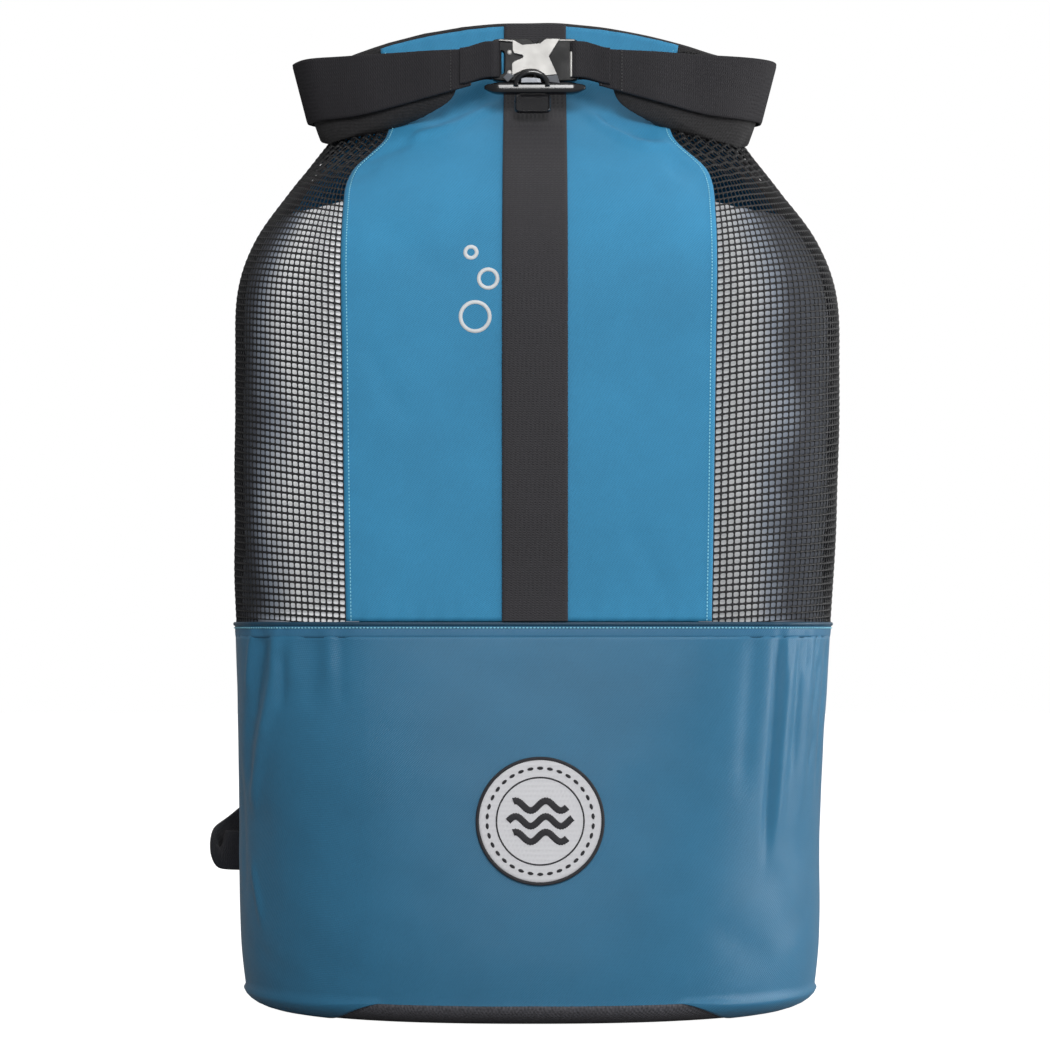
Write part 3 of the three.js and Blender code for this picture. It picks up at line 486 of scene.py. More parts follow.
def waves(across, up, size, seed, count=7):
    """A sum of slow sines in different directions, from -1 to 1, about size millimetres apart."""
    own = np.random.default_rng(seed)
    total = np.zeros(np.broadcast(across, up).shape)
    spans = ((0, np.pi), (0, 6.28), (0.7, 1.6))
    for turn, phase, stretch in zip(*(own.uniform(low, high, count) for low, high in spans)):
        total += np.sin((across * np.cos(turn) + up * np.sin(turn)) * 2 * np.pi / (size * stretch) + phase)
    return total / count


# %% [markdown]
# A row of stitches is what says that two cloths are sewn. Each stitch is a tiny lens lying along the seam,
# and one mesh holds a whole row.

# %% Stitches along a seam
def resampled(path, step):
    """Points every step along a path, with the path's own rows interpolated by length."""
    run = np.r_[0, np.cumsum(np.linalg.norm(np.diff(path[:, :3], axis=0), axis=1))]
    at = np.linspace(0, run[-1], max(3, int(round(run[-1] / step)) + 1))
    return np.stack([np.interp(at, run, path[:, k]) for k in range(path.shape[1])], -1)


def unit(vectors):
    """Vectors of length one."""
    return vectors / np.maximum(np.linalg.norm(vectors, axis=-1, keepdims=True), 1e-9)


def stitch_row(name, path, normals, material, pitch=2.0, long=1.45, wide=0.6, lift=0.15):
    """One lens for each stitch: 4 rings of 6 points between two tips, along the path's tangent."""
    both = resampled(np.c_[path, normals], pitch)
    spots, out = both[:, :3], unit(both[:, 3:])
    tangent = unit(np.gradient(spots, axis=0))
    side = unit(np.cross(out, tangent))
    t = np.linspace(-0.8, 0.8, 4)
    turn = np.linspace(0, 2 * np.pi, 6, endpoint=False)
    radius = np.sqrt(1 - t ** 2)[:, None]
    ring = np.stack([np.repeat(t[:, None], 6, 1) * long / 2, radius * np.cos(turn) * wide / 2,
                     radius * np.sin(turn) * wide / 2], -1).reshape(-1, 3)
    lens = np.r_[ring, [[-long / 2, 0, 0], [long / 2, 0, 0]]]
    basis = np.stack([tangent, side, out], 1)
    points = spots[:, None] + np.einsum("kl,nlm->nkm", lens, basis) + out[:, None] * lift
    quads = grid_faces(4, 6, wrap=True)
    c = np.arange(6)
    caps = np.r_[np.stack([c, (c + 1) % 6, np.full(6, 24)], 1),
                 np.stack([18 + (c + 1) % 6, 18 + c, np.full(6, 25)], 1)]
    start = np.arange(len(spots))[:, None, None] * 26
    return piece(name, points, [(quads + start).reshape(-1, 4), (caps + start).reshape(-1, 3)], material,
                 uv=np.tile(lens[:, :2], (len(spots), 1)), closed=True)


# %% [markdown]
# Straps, belts and rolls are all one thing to a modeller: a section carried along a path. The path has a
# point, a side direction and an outward direction at each step, and the ends are closed with fans.

# %% A section carried along a path
def rounded(count, power):
    """Points of a superellipse of width and height one: |cos|^(2/p), |sin|^(2/p)."""
    turn = (np.arange(count) + 0.5) * 2 * np.pi / count
    shape = np.stack([np.cos(turn), np.sin(turn)], -1)
    return signed_power(shape, 2 / power) / 2


def carried(centres, sides, outs, section):
    """point = centre + a * side + b * out, for each (a, b) of the section; section is (n, 2) or (steps, n, 2)."""
    section = np.broadcast_to(section, (len(centres),) + section.shape[-2:])
    return centres[:, None] + section[..., :1] * sides[:, None] + section[..., 1:] * outs[:, None]


def closed_sweep(name, rings, material, stands_for=(), flat_map=False):
    """Rings of points joined to each other, with a fan over each end; the map runs round and along, or is flat."""
    steps, count = rings.shape[:2]
    points = np.r_[rings.reshape(-1, 3), rings[:1].mean(1), rings[-1:].mean(1)]
    c = np.arange(count)
    last = (steps - 1) * count
    fans = np.r_[np.stack([(c + 1) % count, c, np.full(count, steps * count)], 1),
                 np.stack([last + c, last + (c + 1) % count, np.full(count, steps * count + 1)], 1)]
    run, around = lengths_along(rings, 0).mean(1), lengths_along(rings, 1)
    uv = np.stack([around, np.repeat(run[:, None], count, 1)], -1).reshape(-1, 2)
    uv = points[:, :2] if flat_map else np.r_[uv, uv[:1], uv[-1:]]
    return piece(name, points, [grid_faces(steps, count, wrap=True), fans], material, uv=uv,
                 stands_for=stands_for, closed=True)


# %% [markdown]
# A cut of cloth is a grid of points with its thickness laid inwards, and its cloth goes with it as its material.

# %% A cut of cloth
CLOTH_THICK = 0.0012


def cloth_sheet(name, points, material, stands_for, thick=CLOTH_THICK, uv=None):
    """A grid of cloth with a wall thickness inwards; its map follows its lengths or is given."""
    made = piece(name, points, grid_faces(*points.shape[:2]), material,
                 uv=thread_uv(points) if uv is None else uv, stands_for=stands_for)
    modifier(made, "SOLIDIFY", thickness=thick, offset=-1)
    print(name + ":", len(made.data.polygons), "faces")
    return made


# %% [markdown]
# The base is a heathered dark cloth: an oval floor whose edge curls up to the seam. It's one closed shell,
# outside and inside, so it can be looked at from below and through the nets.

# %% The base
around = angle_of(np.linspace(-1, 1, 200, endpoint=False) * girth(BASE_SEAM), BASE_SEAM + 0.0)
curl_turn = np.radians(np.linspace(0, 90, 12))


def base_ring(turn, wall):
    """A ring of the curl: in by curl - (curl - wall) cos t, and up by seam - (seam - wall) sin t."""
    inset = (BASE_CURL - (BASE_CURL - wall) * np.cos(turn)) / BASE_CURL
    seam = np.full_like(around, BASE_SEAM)
    rim, inner = bare_skin(around, seam), skin(around, seam, BASE_CURL)
    ring = rim + (inner - rim) * inset
    ring[:, 2] = BASE_SEAM - 0.3 - (BASE_SEAM - 0.3 - wall) * np.sin(turn)
    return ring


base_rings = np.array([base_ring(t, 0) for t in curl_turn[::-1]] + [base_ring(t, 1.5) for t in curl_turn])
middle_of = base_rings[:1].mean(1)[0] * (1, 1, 0)
floor_rings = [middle_of + (base_rings[0] - middle_of) * share for share in np.linspace(0.1, 0.9, 9)]
base_rings = np.concatenate([np.array(floor_rings), base_rings])
base = closed_sweep("base_dish", base_rings, base_cloth, stands_for=["base_panel"], flat_map=True)
print("base:", len(base.data.polygons), "faces")

# %% [markdown]
# The lower band is one cut of coated cloth sewn into a ring. Where the narrower net is sewn to it at the
# sides the cloth is gathered, so folds run down from the hem there, and the front stays almost smooth. Towards
# the sides its lower edge goes on under the bag, round the base's curl.

# %% The lower band
# Creases: sideways along the cloth at one end, height there, the same at the other end, depth and width, in mm.
BAND_CREASES = np.array([
    (-150, 234, -154, 198, -2.6, 5.0), (-154, 202, -166, 168, -2.6, 5.0), (-165, 174, -184, 122, -2.2, 5.0),
    (-160, 234, -181, 170, 3.4, 6.5), (-180, 176, -190, 138, 1.8, 6.0), (-170, 234, -183, 194, -1.6, 3.0),
    (-146, 218, -149, 186, 1.3, 3.2), (-139, 234, -141, 200, -1.0, 5.0), (-125, 234, -128, 186, 1.5, 7.0),
    (-116, 234, -117, 202, -0.9, 4.0), (-109, 234, -110, 188, 1.0, 4.0), (-190, 92, -180, 56, -1.5, 3.0),
    (-176, 130, -168, 60, 1.0, 14), (-150, 110, -120, 60, 0.6, 16), (-140, 36, -90, 24, 0.7, 9.0),
    (-188, 40, -150, 22, 0.8, 6.0), (-204, 150, -206, 70, 1.2, 7.0), (127, 234, 127, 136, 1.1, 6.0),
    (144, 236, 147, 96, 2.4, 3.2), (151, 236, 154, 104, -1.9, 5.0), (159, 226, 163, 144, 1.4, 2.6),
    (169, 230, 174, 116, -1.3, 6.0), (152, 236, 152, 206, 1.2, 1.9), (166, 236, 166, 205, 1.5, 1.9),
    (176, 236, 176, 204, 1.4, 2.0), (182, 214, 180, 180, 1.2, 2.4), (184, 168, 181, 150, 1.2, 2.0),
    (196, 230, 200, 130, 1.4, 5.0), (150, 90, 178, 48, 1.0, 12), (110, 60, 160, 30, 0.7, 9.0),
    (60, 150, 64, 100, 0.4, 12),
])
heights = np.concatenate([np.linspace(BASE_SEAM, 170, 38), np.linspace(173, BAND_TOP, 22)])
S, Z = np.meshgrid(np.linspace(-1, 1, 480), heights)
band_girth = girth(150)
across = S * band_girth
band_depth = creases(BAND_CREASES, across, Z)
# Behind, the same creases return, turned over about the side's middle line.
mirror = BAND_CREASES * (-1, 1, -1, 1, 1, 1)
mirror += np.array([1, 0, 1, 0, 0, 0]) * band_girth * np.sign(BAND_CREASES[:, :1])
band_depth += 0.7 * creases(mirror, across, Z)
band_depth += 0.5 * waves(across, Z, 95, 3) * smooth(np.abs(across), 30, 120) + 0.22 * waves(across, Z, 36, 5)
band_depth *= smooth(Z, BASE_SEAM - 1, BASE_SEAM + 30) * 0.9 + 0.1
band_depth = np.maximum(band_depth * (1 - 0.5 * smooth(Z, BAND_TOP - 6, BAND_TOP)), -3.2)
band_points = skin(angle_of(S * girth(Z), Z), Z, band_depth)
rim, inner = band_points[0], skin(angle_of(S[0] * girth(BASE_SEAM), BASE_SEAM + 0.0), Z[0], BASE_CURL)
under = smooth(np.abs(across[0]), 88, 150)[:, None]
tuck = []
for way in np.linspace(1, 0.12, 7):
    turn = np.radians(72) * way * np.maximum(under, 0.03)
    row = rim + (inner - rim) * (1 - np.cos(turn) - 0.05 * smooth(under, 0, 0.15))
    row[:, 2:] = BASE_SEAM - (BASE_SEAM + 0.35) * np.sin(turn)
    tuck.append(row)
band_points = np.concatenate([np.array(tuck), band_points])
cloth_sheet("band_cloth_ring", band_points, band_cloth, ["lower_band"])

# %% [markdown]
# The hem is the band's upper edge, folded over and stitched: a flat fold under a rolled edge darkened by painted shade,
# with a row of pale blue stitches just below the roll.

# %% The hem and its stitches
def hem_profile(count=14):
    """Outline of the folded hem as (height above its foot, distance out): flat below, then a small roll."""
    turn = np.linspace(-0.5 * np.pi, 0.75 * np.pi, count)
    roll = np.stack([HEM_TALL - 1.15 + 1.15 * np.sin(turn), 0.35 + 0.9 * np.cos(turn)], -1)
    return np.r_[[(-1.4, -0.1), (0.4, 0.12), (2.0, 0.2), (4.0, 0.25), (4.9, 0.2)], roll]


hem_line = hem_profile()
HS, HL = np.meshgrid(np.linspace(-1, 1, 480), hem_line[:, 0])
HZ = BAND_TOP + HL
HA = angle_of(HS * girth(HZ), HZ)
pucker = 0.22 * waves(HS * girth(BAND_TOP), 0 * HZ, 7, 8) * smooth(np.abs(HS), 0.2, 0.3)
hem_sunk = np.interp(HS, S[0], band_depth[-1]) * (1 - 0.6 * smooth(HL, 0, 6))
hem_points = skin(HA, HZ, hem_sunk - hem_line[:, 1][:, None] - pucker)
cloth_sheet("hem_fold", hem_points, hem_cloth, ["band_hem"])
seam_height = np.full(900, BAND_TOP + 4.5)
seam_angle = angle_of(np.linspace(-1, 1, 900) * girth(seam_height), seam_height)
hem_seam = skin(seam_angle, seam_height, 0.6 * np.interp(np.linspace(-1, 1, 900), S[0], band_depth[-1]) - 0.45)
hem_out = unit(skin(seam_angle, seam_height, 0.0) - skin(seam_angle, seam_height, 1.0))
stitch_row("hem_stitches", hem_seam, hem_out, thread_cloth, pitch=2.1, long=1.5, wide=0.85, lift=0.25)

# %% [markdown]
# The front panel is a separate, lighter cloth. It widens over the chest of the bag and narrows towards the
# neck, and it's pulled over the ridge by the roll, which leaves a few slanting folds under the buckle.

# %% The front panel and its stitches
# Creases: sideways at one end, height there, sideways at the other, height there, depth, width, all in mm.
PANEL_CREASES = np.array([
    (-26, 549, -56, 535, -2.6, 3.2), (-54, 536, -90, 526, -2.2, 3.4), (-30, 559, -78, 537, 2.6, 5.0),
    (-108, 513, -84, 525, 1.6, 5.5), (-110, 502, -92, 505, 1.0, 6.0), (-28, 570, -60, 556, -1.0, 4.0),
    (44, 544, 79, 520, -2.5, 3.6), (77, 521, 102, 521, -2.1, 3.6), (56, 541, 96, 526, 2.6, 4.6),
    (26, 558, 50, 552, 1.4, 4.0), (100, 508, 84, 500, 1.0, 7.0), (88, 512, 104, 486, 0.8, 7.0),
    (-90, 470, -40, 430, 0.6, 9.0), (88, 440, 40, 400, 0.6, 10.0), (-60, 300, -88, 250, 0.7, 7.0),
    (60, 290, 84, 246, 0.6, 7.0), (-70, 590, -50, 566, -0.7, 2.6), (66, 588, 52, 566, -0.7, 2.6),
    (-24, 596, -30, 574, 0.6, 2.4), (26, 596, 30, 574, 0.6, 2.4), (-96, 398, -70, 350, 0.5, 6.0),
])


def upper_heights(top, count):
    """Heights from the hem to the top, closer together over the shoulder, where the cloth turns in."""
    share = np.linspace(0, 1, count)
    return UPPER_FOOT + (top - UPPER_FOOT) * (share + 0.09 * np.sin(np.pi * share) ** 2)


def panel_points(share, z, depth=0.0):
    """x = offset + (2 share - 1) half, so the columns stay even from the panel's left edge to its right edge."""
    return skin(angle_at(PANEL_OFFSET + (2 * share - 1) * panel_half(z), z), z, depth)


def panel_relief(x, z):
    """The panel's creases and slow waves, at a distance along the cloth from its middle."""
    return creases(PANEL_CREASES, x, z) + 0.45 * waves(x, z, 110, 11) + 0.12 * waves(x, z, 40, 12)


PU, PZ = np.meshgrid(np.linspace(0, 1, 90), upper_heights(RIDGE, 130))
PX = (PU - 0.5) * PANEL_WIDTH
panel_depth = panel_relief(PX, PZ)
to_edge = (0.5 - np.abs(PU - 0.5)) * PANEL_WIDTH
panel_depth += 0.3 * waves(PX * 0.3, PZ, 13, 14) * (1 - smooth(to_edge, 2, 16))
panel_depth += 0.25 * np.sin(PX * 0.55) * (1 - smooth(PZ, UPPER_FOOT + 2, UPPER_FOOT + 16)) * smooth(np.abs(PX), 20, 34)
panel_depth += 0.7 * waves(PX, PZ * 0.35, 15, 15) * smooth(PZ, 574, 590) * smooth(np.abs(PX), 20, 30)
panel_depth *= smooth(to_edge, -4, 3)
panel_depth = np.clip(panel_depth, -2.8, 4)
cloth_sheet("front_cloth", panel_points(PU, PZ, panel_depth), panel_cloth, ["front_panel"])

seam_z = np.linspace(UPPER_FOOT + 1, 598, 500)
for side, label in SIDES:
    share = 0.5 + side * (0.5 - 0.014)
    edge_row = panel_points(share, seam_z, -0.05)
    edge_out = unit(edge_row - panel_points(share, seam_z, 1.0))
    stitch_row(label + "_panel_stitches", edge_row, edge_out, thread_cloth, pitch=2.0, wide=0.7)

# %% [markdown]
# The back panel runs from seam to seam behind the shoulder straps. It's the same cloth, finished plainly.

# %% The back panel and its stitches
BU, BZ = np.meshgrid(np.linspace(-1, 1, 100), upper_heights(BACK_TOP, 100))
rear_turn = np.radians(180 - REAR_SEAM) - 0.0035
back_depth = 0.7 * waves(BU * 150, BZ, 120, 21) + 0.2 * waves(BU * 150, BZ, 45, 22)
BACK_CREASES = np.array([
    (-100, 300, -60, 250, 1.2, 8), (100, 300, 60, 250, 1.2, 8), (-60, 520, -20, 470, 1.0, 7),
    (60, 520, 20, 470, 1.0, 7), (-10, 400, 14, 360, 0.8, 12),
])
back_depth += creases(BACK_CREASES, BU * 150, BZ)
back_points = skin(np.pi + BU * rear_turn, BZ, np.maximum(back_depth, -1.2))
cloth_sheet("back_cloth", back_points, panel_cloth, ["back_panel"])
rear_z = np.linspace(UPPER_FOOT + 1, 556, 400)
for side, label in SIDES:
    rear_row = skin(np.pi + side * (rear_turn - 0.02), rear_z, -0.05)
    rear_out = unit(rear_row - skin(np.pi + side * (rear_turn - 0.02), rear_z, 1.0))
    stitch_row(label + "_rear_stitches", rear_row, rear_out, thread_cloth, pitch=2.4)

# %% [markdown]
# A pale sheet lies behind each net. Its colour carries painted shade: brightest beside the panel, it turns blue-grey
# and then dark towards the sides, and a little darker towards the bottom. Little light gets through the small holes, so
# the sheet glows weakly, as painted light.

# %% The pale linings
def lining_painted_shade(name, colours, roughness):
    """Colour from the piece's own map: from the panel's edge (0) round to the rear seam (1), with soft blotches; the
    ramp's darkening and the darkening towards the bottom are painted shade, and the weak emission is painted light.
    """
    made, tree, shader = material(name, colours[0][1], roughness)
    share, up, _ = parts_of(tree, thread_map(tree))
    blotch = in_group(tree, mottle_group, Place=place_in(tree), Scale=11.0, Least=-0.06, Most=0.06)
    ramp = tree.nodes.new("ShaderNodeValToRGB")
    for position, colour in colours:
        stop = ramp.color_ramp.elements.new(position)
        stop.color = (*colour, 1)
    ramp.color_ramp.elements.remove(ramp.color_ramp.elements[0])
    ramp.color_ramp.elements.remove(ramp.color_ramp.elements[-1])
    tree.links.new(calc(tree, "ADD", share, blotch.outputs[0]), ramp.inputs[0])
    # Darker towards the bottom of the sheet: painted shade.
    shaded = scaled_colour(tree, ramp.outputs[0], ranged(tree, up, 0.0, 0.3, 0.86, 1.0))
    # The same colour glows as emission: painted light.
    for key in ("Base Color", "Emission Color"):
        tree.links.new(shaded, shader.inputs[key])
    shader.inputs["Emission Strength"].default_value = 0.26
    return made


NET_RUN = 190
# Painted shade by side: full brightness out to the first share, blue-grey at the second, dark at the third, and the
# pale colour's brightness last; the right side is painted darker than the left.
LINING_SHADES = {-1: (0.23, 0.325, 0.4, 0.88), 1: (0.12, 0.205, 0.28, 0.64)}
for side, label in SIDES:
    LU, LZ = np.meshgrid(np.linspace(0, 1, 60), np.linspace(UPPER_FOOT - 6, GATHER_FOOT, 80))
    start = run_of(np.abs(panel_angle(side, np.maximum(LZ, UPPER_FOOT))), LZ) - 7
    end = run_of(np.radians(REAR_SEAM), LZ) + 7
    field = smooth(LU, 0, 0.2) * (1 - smooth(LU, 0.8, 1)) * smooth(LZ, UPPER_FOOT, UPPER_FOOT + 14)
    uneven = 1.6 * waves(LU * NET_RUN, LZ, 60, 31 + side) + 0.8 * waves(LU * NET_RUN, LZ, 25, 35 + side)
    sunk = 3 + 4 * field + field * uneven
    lining_points = skin(angle_of(side * (start + (end - start) * LU), LZ), LZ, sunk)
    full, grey, dark, bright = LINING_SHADES[side]
    pale = (bright, bright * 1.015, bright * 1.04)
    # The ramp's stops darken the lining towards the sides: painted shade.
    lining_cloth = lining_painted_shade(label + "_lining", [(0.02, pale), (full, pale), (grey, (0.31, 0.35, 0.42)),
                                              (dark, (0.09, 0.1, 0.125)), (0.5, (0.04, 0.045, 0.055)),
                                              (0.72, (0.13, 0.14, 0.17))], 0.8)
    cloth_sheet(label + "_lining_cloth", lining_points, lining_cloth, [label + "_lining"],
                0.001, np.stack([LU, (LZ - UPPER_FOOT) / 250], -1) * 1000)

# %% [markdown]
# The net is a knit of fine cord with rounded holes. Each mesh of the net is a ring of eight faces round its
# hole, raised at the knots and sunk at the hole, so the strands are round, and every ring is shared between
# neighbours. The rows rise towards the sides, and over the shoulder the net is gathered into pleats.

# %% The nets
NET_PITCH, NET_COLUMNS, NET_TOP = 3.8, 48, RIDGE
RING = np.array([(0, 0), (1, 0), (2, 0), (2, 1), (2, 2), (1, 2), (0, 2), (0, 1)])


def net_place(side, share, row):
    """Angle and height for a share of the way from the panel's edge to the rear seam; rows rise by tan(tilt)."""
    z0 = UPPER_FOOT - 14 + row * NET_PITCH
    tilt = np.tan(np.radians(4 + 6 * smooth(z0, 230, 340) * (1 - smooth(z0, 470, 560))))
    z = z0 + share * NET_RUN * tilt * (1 - 0.35 * share)
    z = np.clip(z, UPPER_FOOT - 4, NET_TOP)
    start = run_of(np.abs(panel_angle(side, z)), z) + 0.3
    return angle_of(side * (start + (run_of(np.radians(REAR_SEAM), z) - start) * share), z), z


def net_points(side, share, row, height):
    """A point of the net; height is towards the outside, and pleats grow where the neck narrows."""
    angle, z = net_place(side, share, row)
    gathered = smooth(z, GATHER_FOOT, GATHER_TOP)
    pleat = 2.2 * gathered * np.sin(share * 2 * np.pi * 9 + 0.8 * np.sin(z * 0.05))
    pleat = pleat * smooth(share, 0, 0.06) * (1 - smooth(share, 0.94, 1))
    soft = 0.7 * waves(share * NET_RUN, z, 70, 41 + side) * smooth(share, 0, 0.1)
    return skin(angle, z, 0.9 + np.maximum(pleat, -1.4) + soft - height)


def net(side):
    """Both faces of every mesh of the net, in whole arrays; a mesh that would lie under the hem is left out."""
    rows = int((NET_TOP - UPPER_FOOT + 14) / NET_PITCH)
    across, up = 2 * NET_COLUMNS + 1, 2 * rows + 1
    I, J = np.meshgrid(np.arange(across), np.arange(up))
    knots = (I % 2 == 0) & (J % 2 == 0)
    thick = np.where(knots, 0.6, np.where(J % 2 == 0, 0.5, 0.36))
    jitter = 0.06 * np.sin(I * 12.9898 + J * 78.233)
    share, row = I / (across - 1), J / 2
    share = np.clip(share + np.where((I > 0) & (I < across - 1), jitter * 0.006, 0), 0, 1)
    outer = net_points(side, share, row + jitter * 0.5, thick)
    inner = net_points(side, share, row + jitter * 0.5, -thick)
    C, R = np.meshgrid(np.arange(NET_COLUMNS), np.arange(rows))
    C, R = C.ravel(), R.ravel()
    low_z = net_place(side, (C + 0.5) / NET_COLUMNS, R)[1]
    high_z = net_place(side, (C + 0.5) / NET_COLUMNS, R + 1.0)[1]
    kept = (low_z > UPPER_FOOT - 2.5) & (high_z < NET_TOP - 0.1)
    C, R = C[kept], R[kept]
    gathered = smooth(low_z[kept], GATHER_FOOT, GATHER_TOP)
    offset = RING - 1.0
    corner = (np.abs(offset).sum(1) == 2)[None]
    rounding = np.where(corner, 0.86, 1.0)
    half_wide = 0.5 * (0.78 - 0.4 * gathered)[:, None] * rounding
    half_tall = 0.5 * (0.7 - 0.3 * gathered)[:, None] * rounding
    hole_share = (C[:, None] + 0.5 + offset[None, :, 0] * half_wide) / NET_COLUMNS
    hole_row = R[:, None] + 0.5 + offset[None, :, 1] * half_tall
    hole = net_points(side, hole_share, hole_row, 0.0)
    total = across * up
    ring = (2 * R[:, None] + RING[None, :, 1]) * across + 2 * C[:, None] + RING[None, :, 0]
    hole_at = 2 * total + np.arange(len(C))[:, None] * 8 + np.arange(8)[None]
    after = np.roll(np.arange(8), -1)
    faces_out = np.stack([ring, ring[:, after], hole_at[:, after], hole_at], -1).reshape(-1, 4)
    faces_in = np.stack([hole_at, hole_at[:, after], total + ring[:, after], total + ring], -1).reshape(-1, 4)
    edges = np.stack([ring, ring[:, after]], -1).reshape(-1, 2)
    key = np.sort(edges, 1)
    first, count = np.unique(key[:, 0] * total + key[:, 1], return_index=True, return_counts=True)[1:]
    rim = edges[first[count == 1]]
    faces_rim = np.stack([rim[:, 1], rim[:, 0], rim[:, 0] + total, rim[:, 1] + total], -1)
    faces = np.r_[faces_out, faces_in, faces_rim]
    points = np.r_[outer.reshape(-1, 3), inner.reshape(-1, 3), hole.reshape(-1, 3)]
    used, renumbered = np.unique(faces, return_inverse=True)
    return points[used], renumbered.reshape(-1, 4)


for side, label in SIDES:
    net_mesh, net_faces = net(side)
    knit = piece(label + "_net_knit", net_mesh, net_faces, net_cord, stands_for=[label + "_net"],
                 closed=True)
    print(label, "net:", len(net_faces) * 2, "triangles")

# %% [markdown]
# Webbing is a thick ribbon woven with ribs across it. The ribs are real here: the ribbon is carried along
# its path in steps of a quarter rib, and its two faces swell and shrink with each rib.

# %% Webbing, and the strap up the front
RIB, STRAP_WIDTH, WEBBING_THICK = 1.45, 38, 1.8
WEB_ACROSS = np.array([-1, -0.985, -0.9, -0.45, 0, 0.45, 0.9, 0.985, 1]) / 2


def webbing(name, path, material, stands_for=(), rib_height=0.2):
    """path has rows of centre, side, out, width and thickness; face height = thick/2 - rib |cos(pi s / rib)|."""
    rows = resampled(path, RIB / 4)
    run = np.arange(len(rows)) * RIB / 4
    side, out = unit(rows[:, 3:6]), unit(rows[:, 6:9])
    rib = rib_height * (np.abs(np.cos(np.pi * run / RIB)) - 0.5)
    edge = np.array([0.25, 0.8, 1, 1, 1, 1, 1, 0.8, 0.25])
    high = (rows[:, 10] / 2)[:, None] * edge - rib[:, None] * (edge > 0.9)
    front = np.stack([np.broadcast_to(WEB_ACROSS, high.shape) * rows[:, 9:10], high], -1)
    section = np.concatenate([front, front[:, ::-1] * (1, -1)], 1)
    return closed_sweep(name, carried(rows[:, :3], side, out, section), material, stands_for)


def front_spot(x, z, lift):
    """A point in front of the bag."""
    return skin(angle_at(x, z), z, -np.asarray(lift, float) * np.ones(np.shape(z)))


def back_spot(x, z, lift):
    """A point behind the bag."""
    return skin(angle_at(x, z, True), z, -np.asarray(lift, float) * np.ones(np.shape(z)))


strap_z = upper_heights(RIDGE, 120)
strap_lift = 1.5 + 0.25 * waves(strap_z * 0, strap_z, 60, 51)
strap_centre = front_spot(0 * strap_z, strap_z, strap_lift)
strap_out = unit(front_spot(0 * strap_z, strap_z, 1.0) - front_spot(0 * strap_z, strap_z, 0.0))
same = np.ones(len(strap_z))
strap_path = np.c_[strap_centre, np.outer(same, (1, 0, 0)), strap_out, STRAP_WIDTH * same, WEBBING_THICK * same]
webbing("ribbed_strap", strap_path, webbing_cloth, ["front_strap"])

# %% [markdown]
# The belt goes round the rolled top. Its plan is a table from the middle of the back to the buckle, and the
# roll's turned ends lie against its inside.

# %% The belt round the top
# Columns after the station: plan, height of the belt's middle, the roll end's foot, height, thickness, and the belt.
LOOP_X, LOOP_Y, MID, LOW, TALL, THICK, BELT = range(1, 8)
LOOP = np.array([
    (0, 0, 0, 0.5, 0.5, 1, 1, 1), (1, 0.42, 0.005, 0.62, 0.5, 1, 1, 1), (2, 0.7, 0.03, 0.85, 0.5, 1, 1, 1),
    (3, 0.86, 0.09, 1.02, 0.6, 1, 1, 1), (4, 0.962, 0.22, 1.11, 0.64, 1.04, 1.05, 1),
    (5, 1, 0.39, 1.14, 0.66, 1.08, 1.05, 1), (6, 0.985, 0.55, 1.16, 0.66, 1.08, 1.05, 1),
    (7, 0.91, 0.7, 1.17, 0.64, 1.02, 1, 0.99), (8, 0.74, 0.83, 1.165, 0.58, 0.95, 0.95, 0.95),
    (9, 0.54, 0.93, 1.085, 0.53, 0.84, 0.85, 0.81), (10, 0.37, 0.99, 1.005, 0.46, 0.62, 0.6, 0.67),
    (11, 0.27, 1, 0.95, 0.34, 0.44, 0.4, 0.58),
])
LOOP_WIDTH, LOOP_BACK, LOOP_FRONT, LOOP_FLARE, END_THICK, END_TALL = 284, 24, 62, 0.26, 13, 41


def loop_at(share, side):
    """Spot, outward and upward directions of the roll's outer face, from the middle of the back to the buckle."""
    place = share * (len(LOOP) - 1)

    def spot(p):
        return np.stack([side * along(LOOP, LOOP_X, p) * LOOP_WIDTH / 2,
                         LOOP_BACK - (LOOP_BACK + LOOP_FRONT) * along(LOOP, LOOP_Y, p), 0 * p], -1)
    tangent = unit(spot(np.minimum(place + 0.01, 11)) - spot(np.maximum(place - 0.01, 0)))
    out = np.stack([-tangent[:, 1] * side, tangent[:, 0] * side, 0 * place], -1)
    lean = LOOP_FLARE * smooth(np.abs(out[:, 0]), 0.1, 1)
    upward = unit(np.stack([out[:, 0] * lean, out[:, 1] * lean, 1 + 0 * place], -1))
    centre = spot(place)
    centre[:, 2] = BAG_HEIGHT - along(LOOP, MID, place) * STRAP_WIDTH
    return centre, out, upward, place


def belt_half(side):
    """Rows of the belt's path on one side, from the back to the buckle; it buckles a little where it turns."""
    share = np.linspace(0, 1, 140)
    centre, out, upward, place = loop_at(share, side)
    loose = smooth(place, 3, 5) * (1 - smooth(place, 9.4, 10.4))
    lift = WEBBING_THICK / 2 + loose * (0.5 + 0.5 * np.sin(share * 46 + side)) * 0.8
    wide = along(LOOP, BELT, place) * STRAP_WIDTH
    return np.c_[centre + out * lift[:, None], upward, out, wide, np.full(len(share), WEBBING_THICK)]


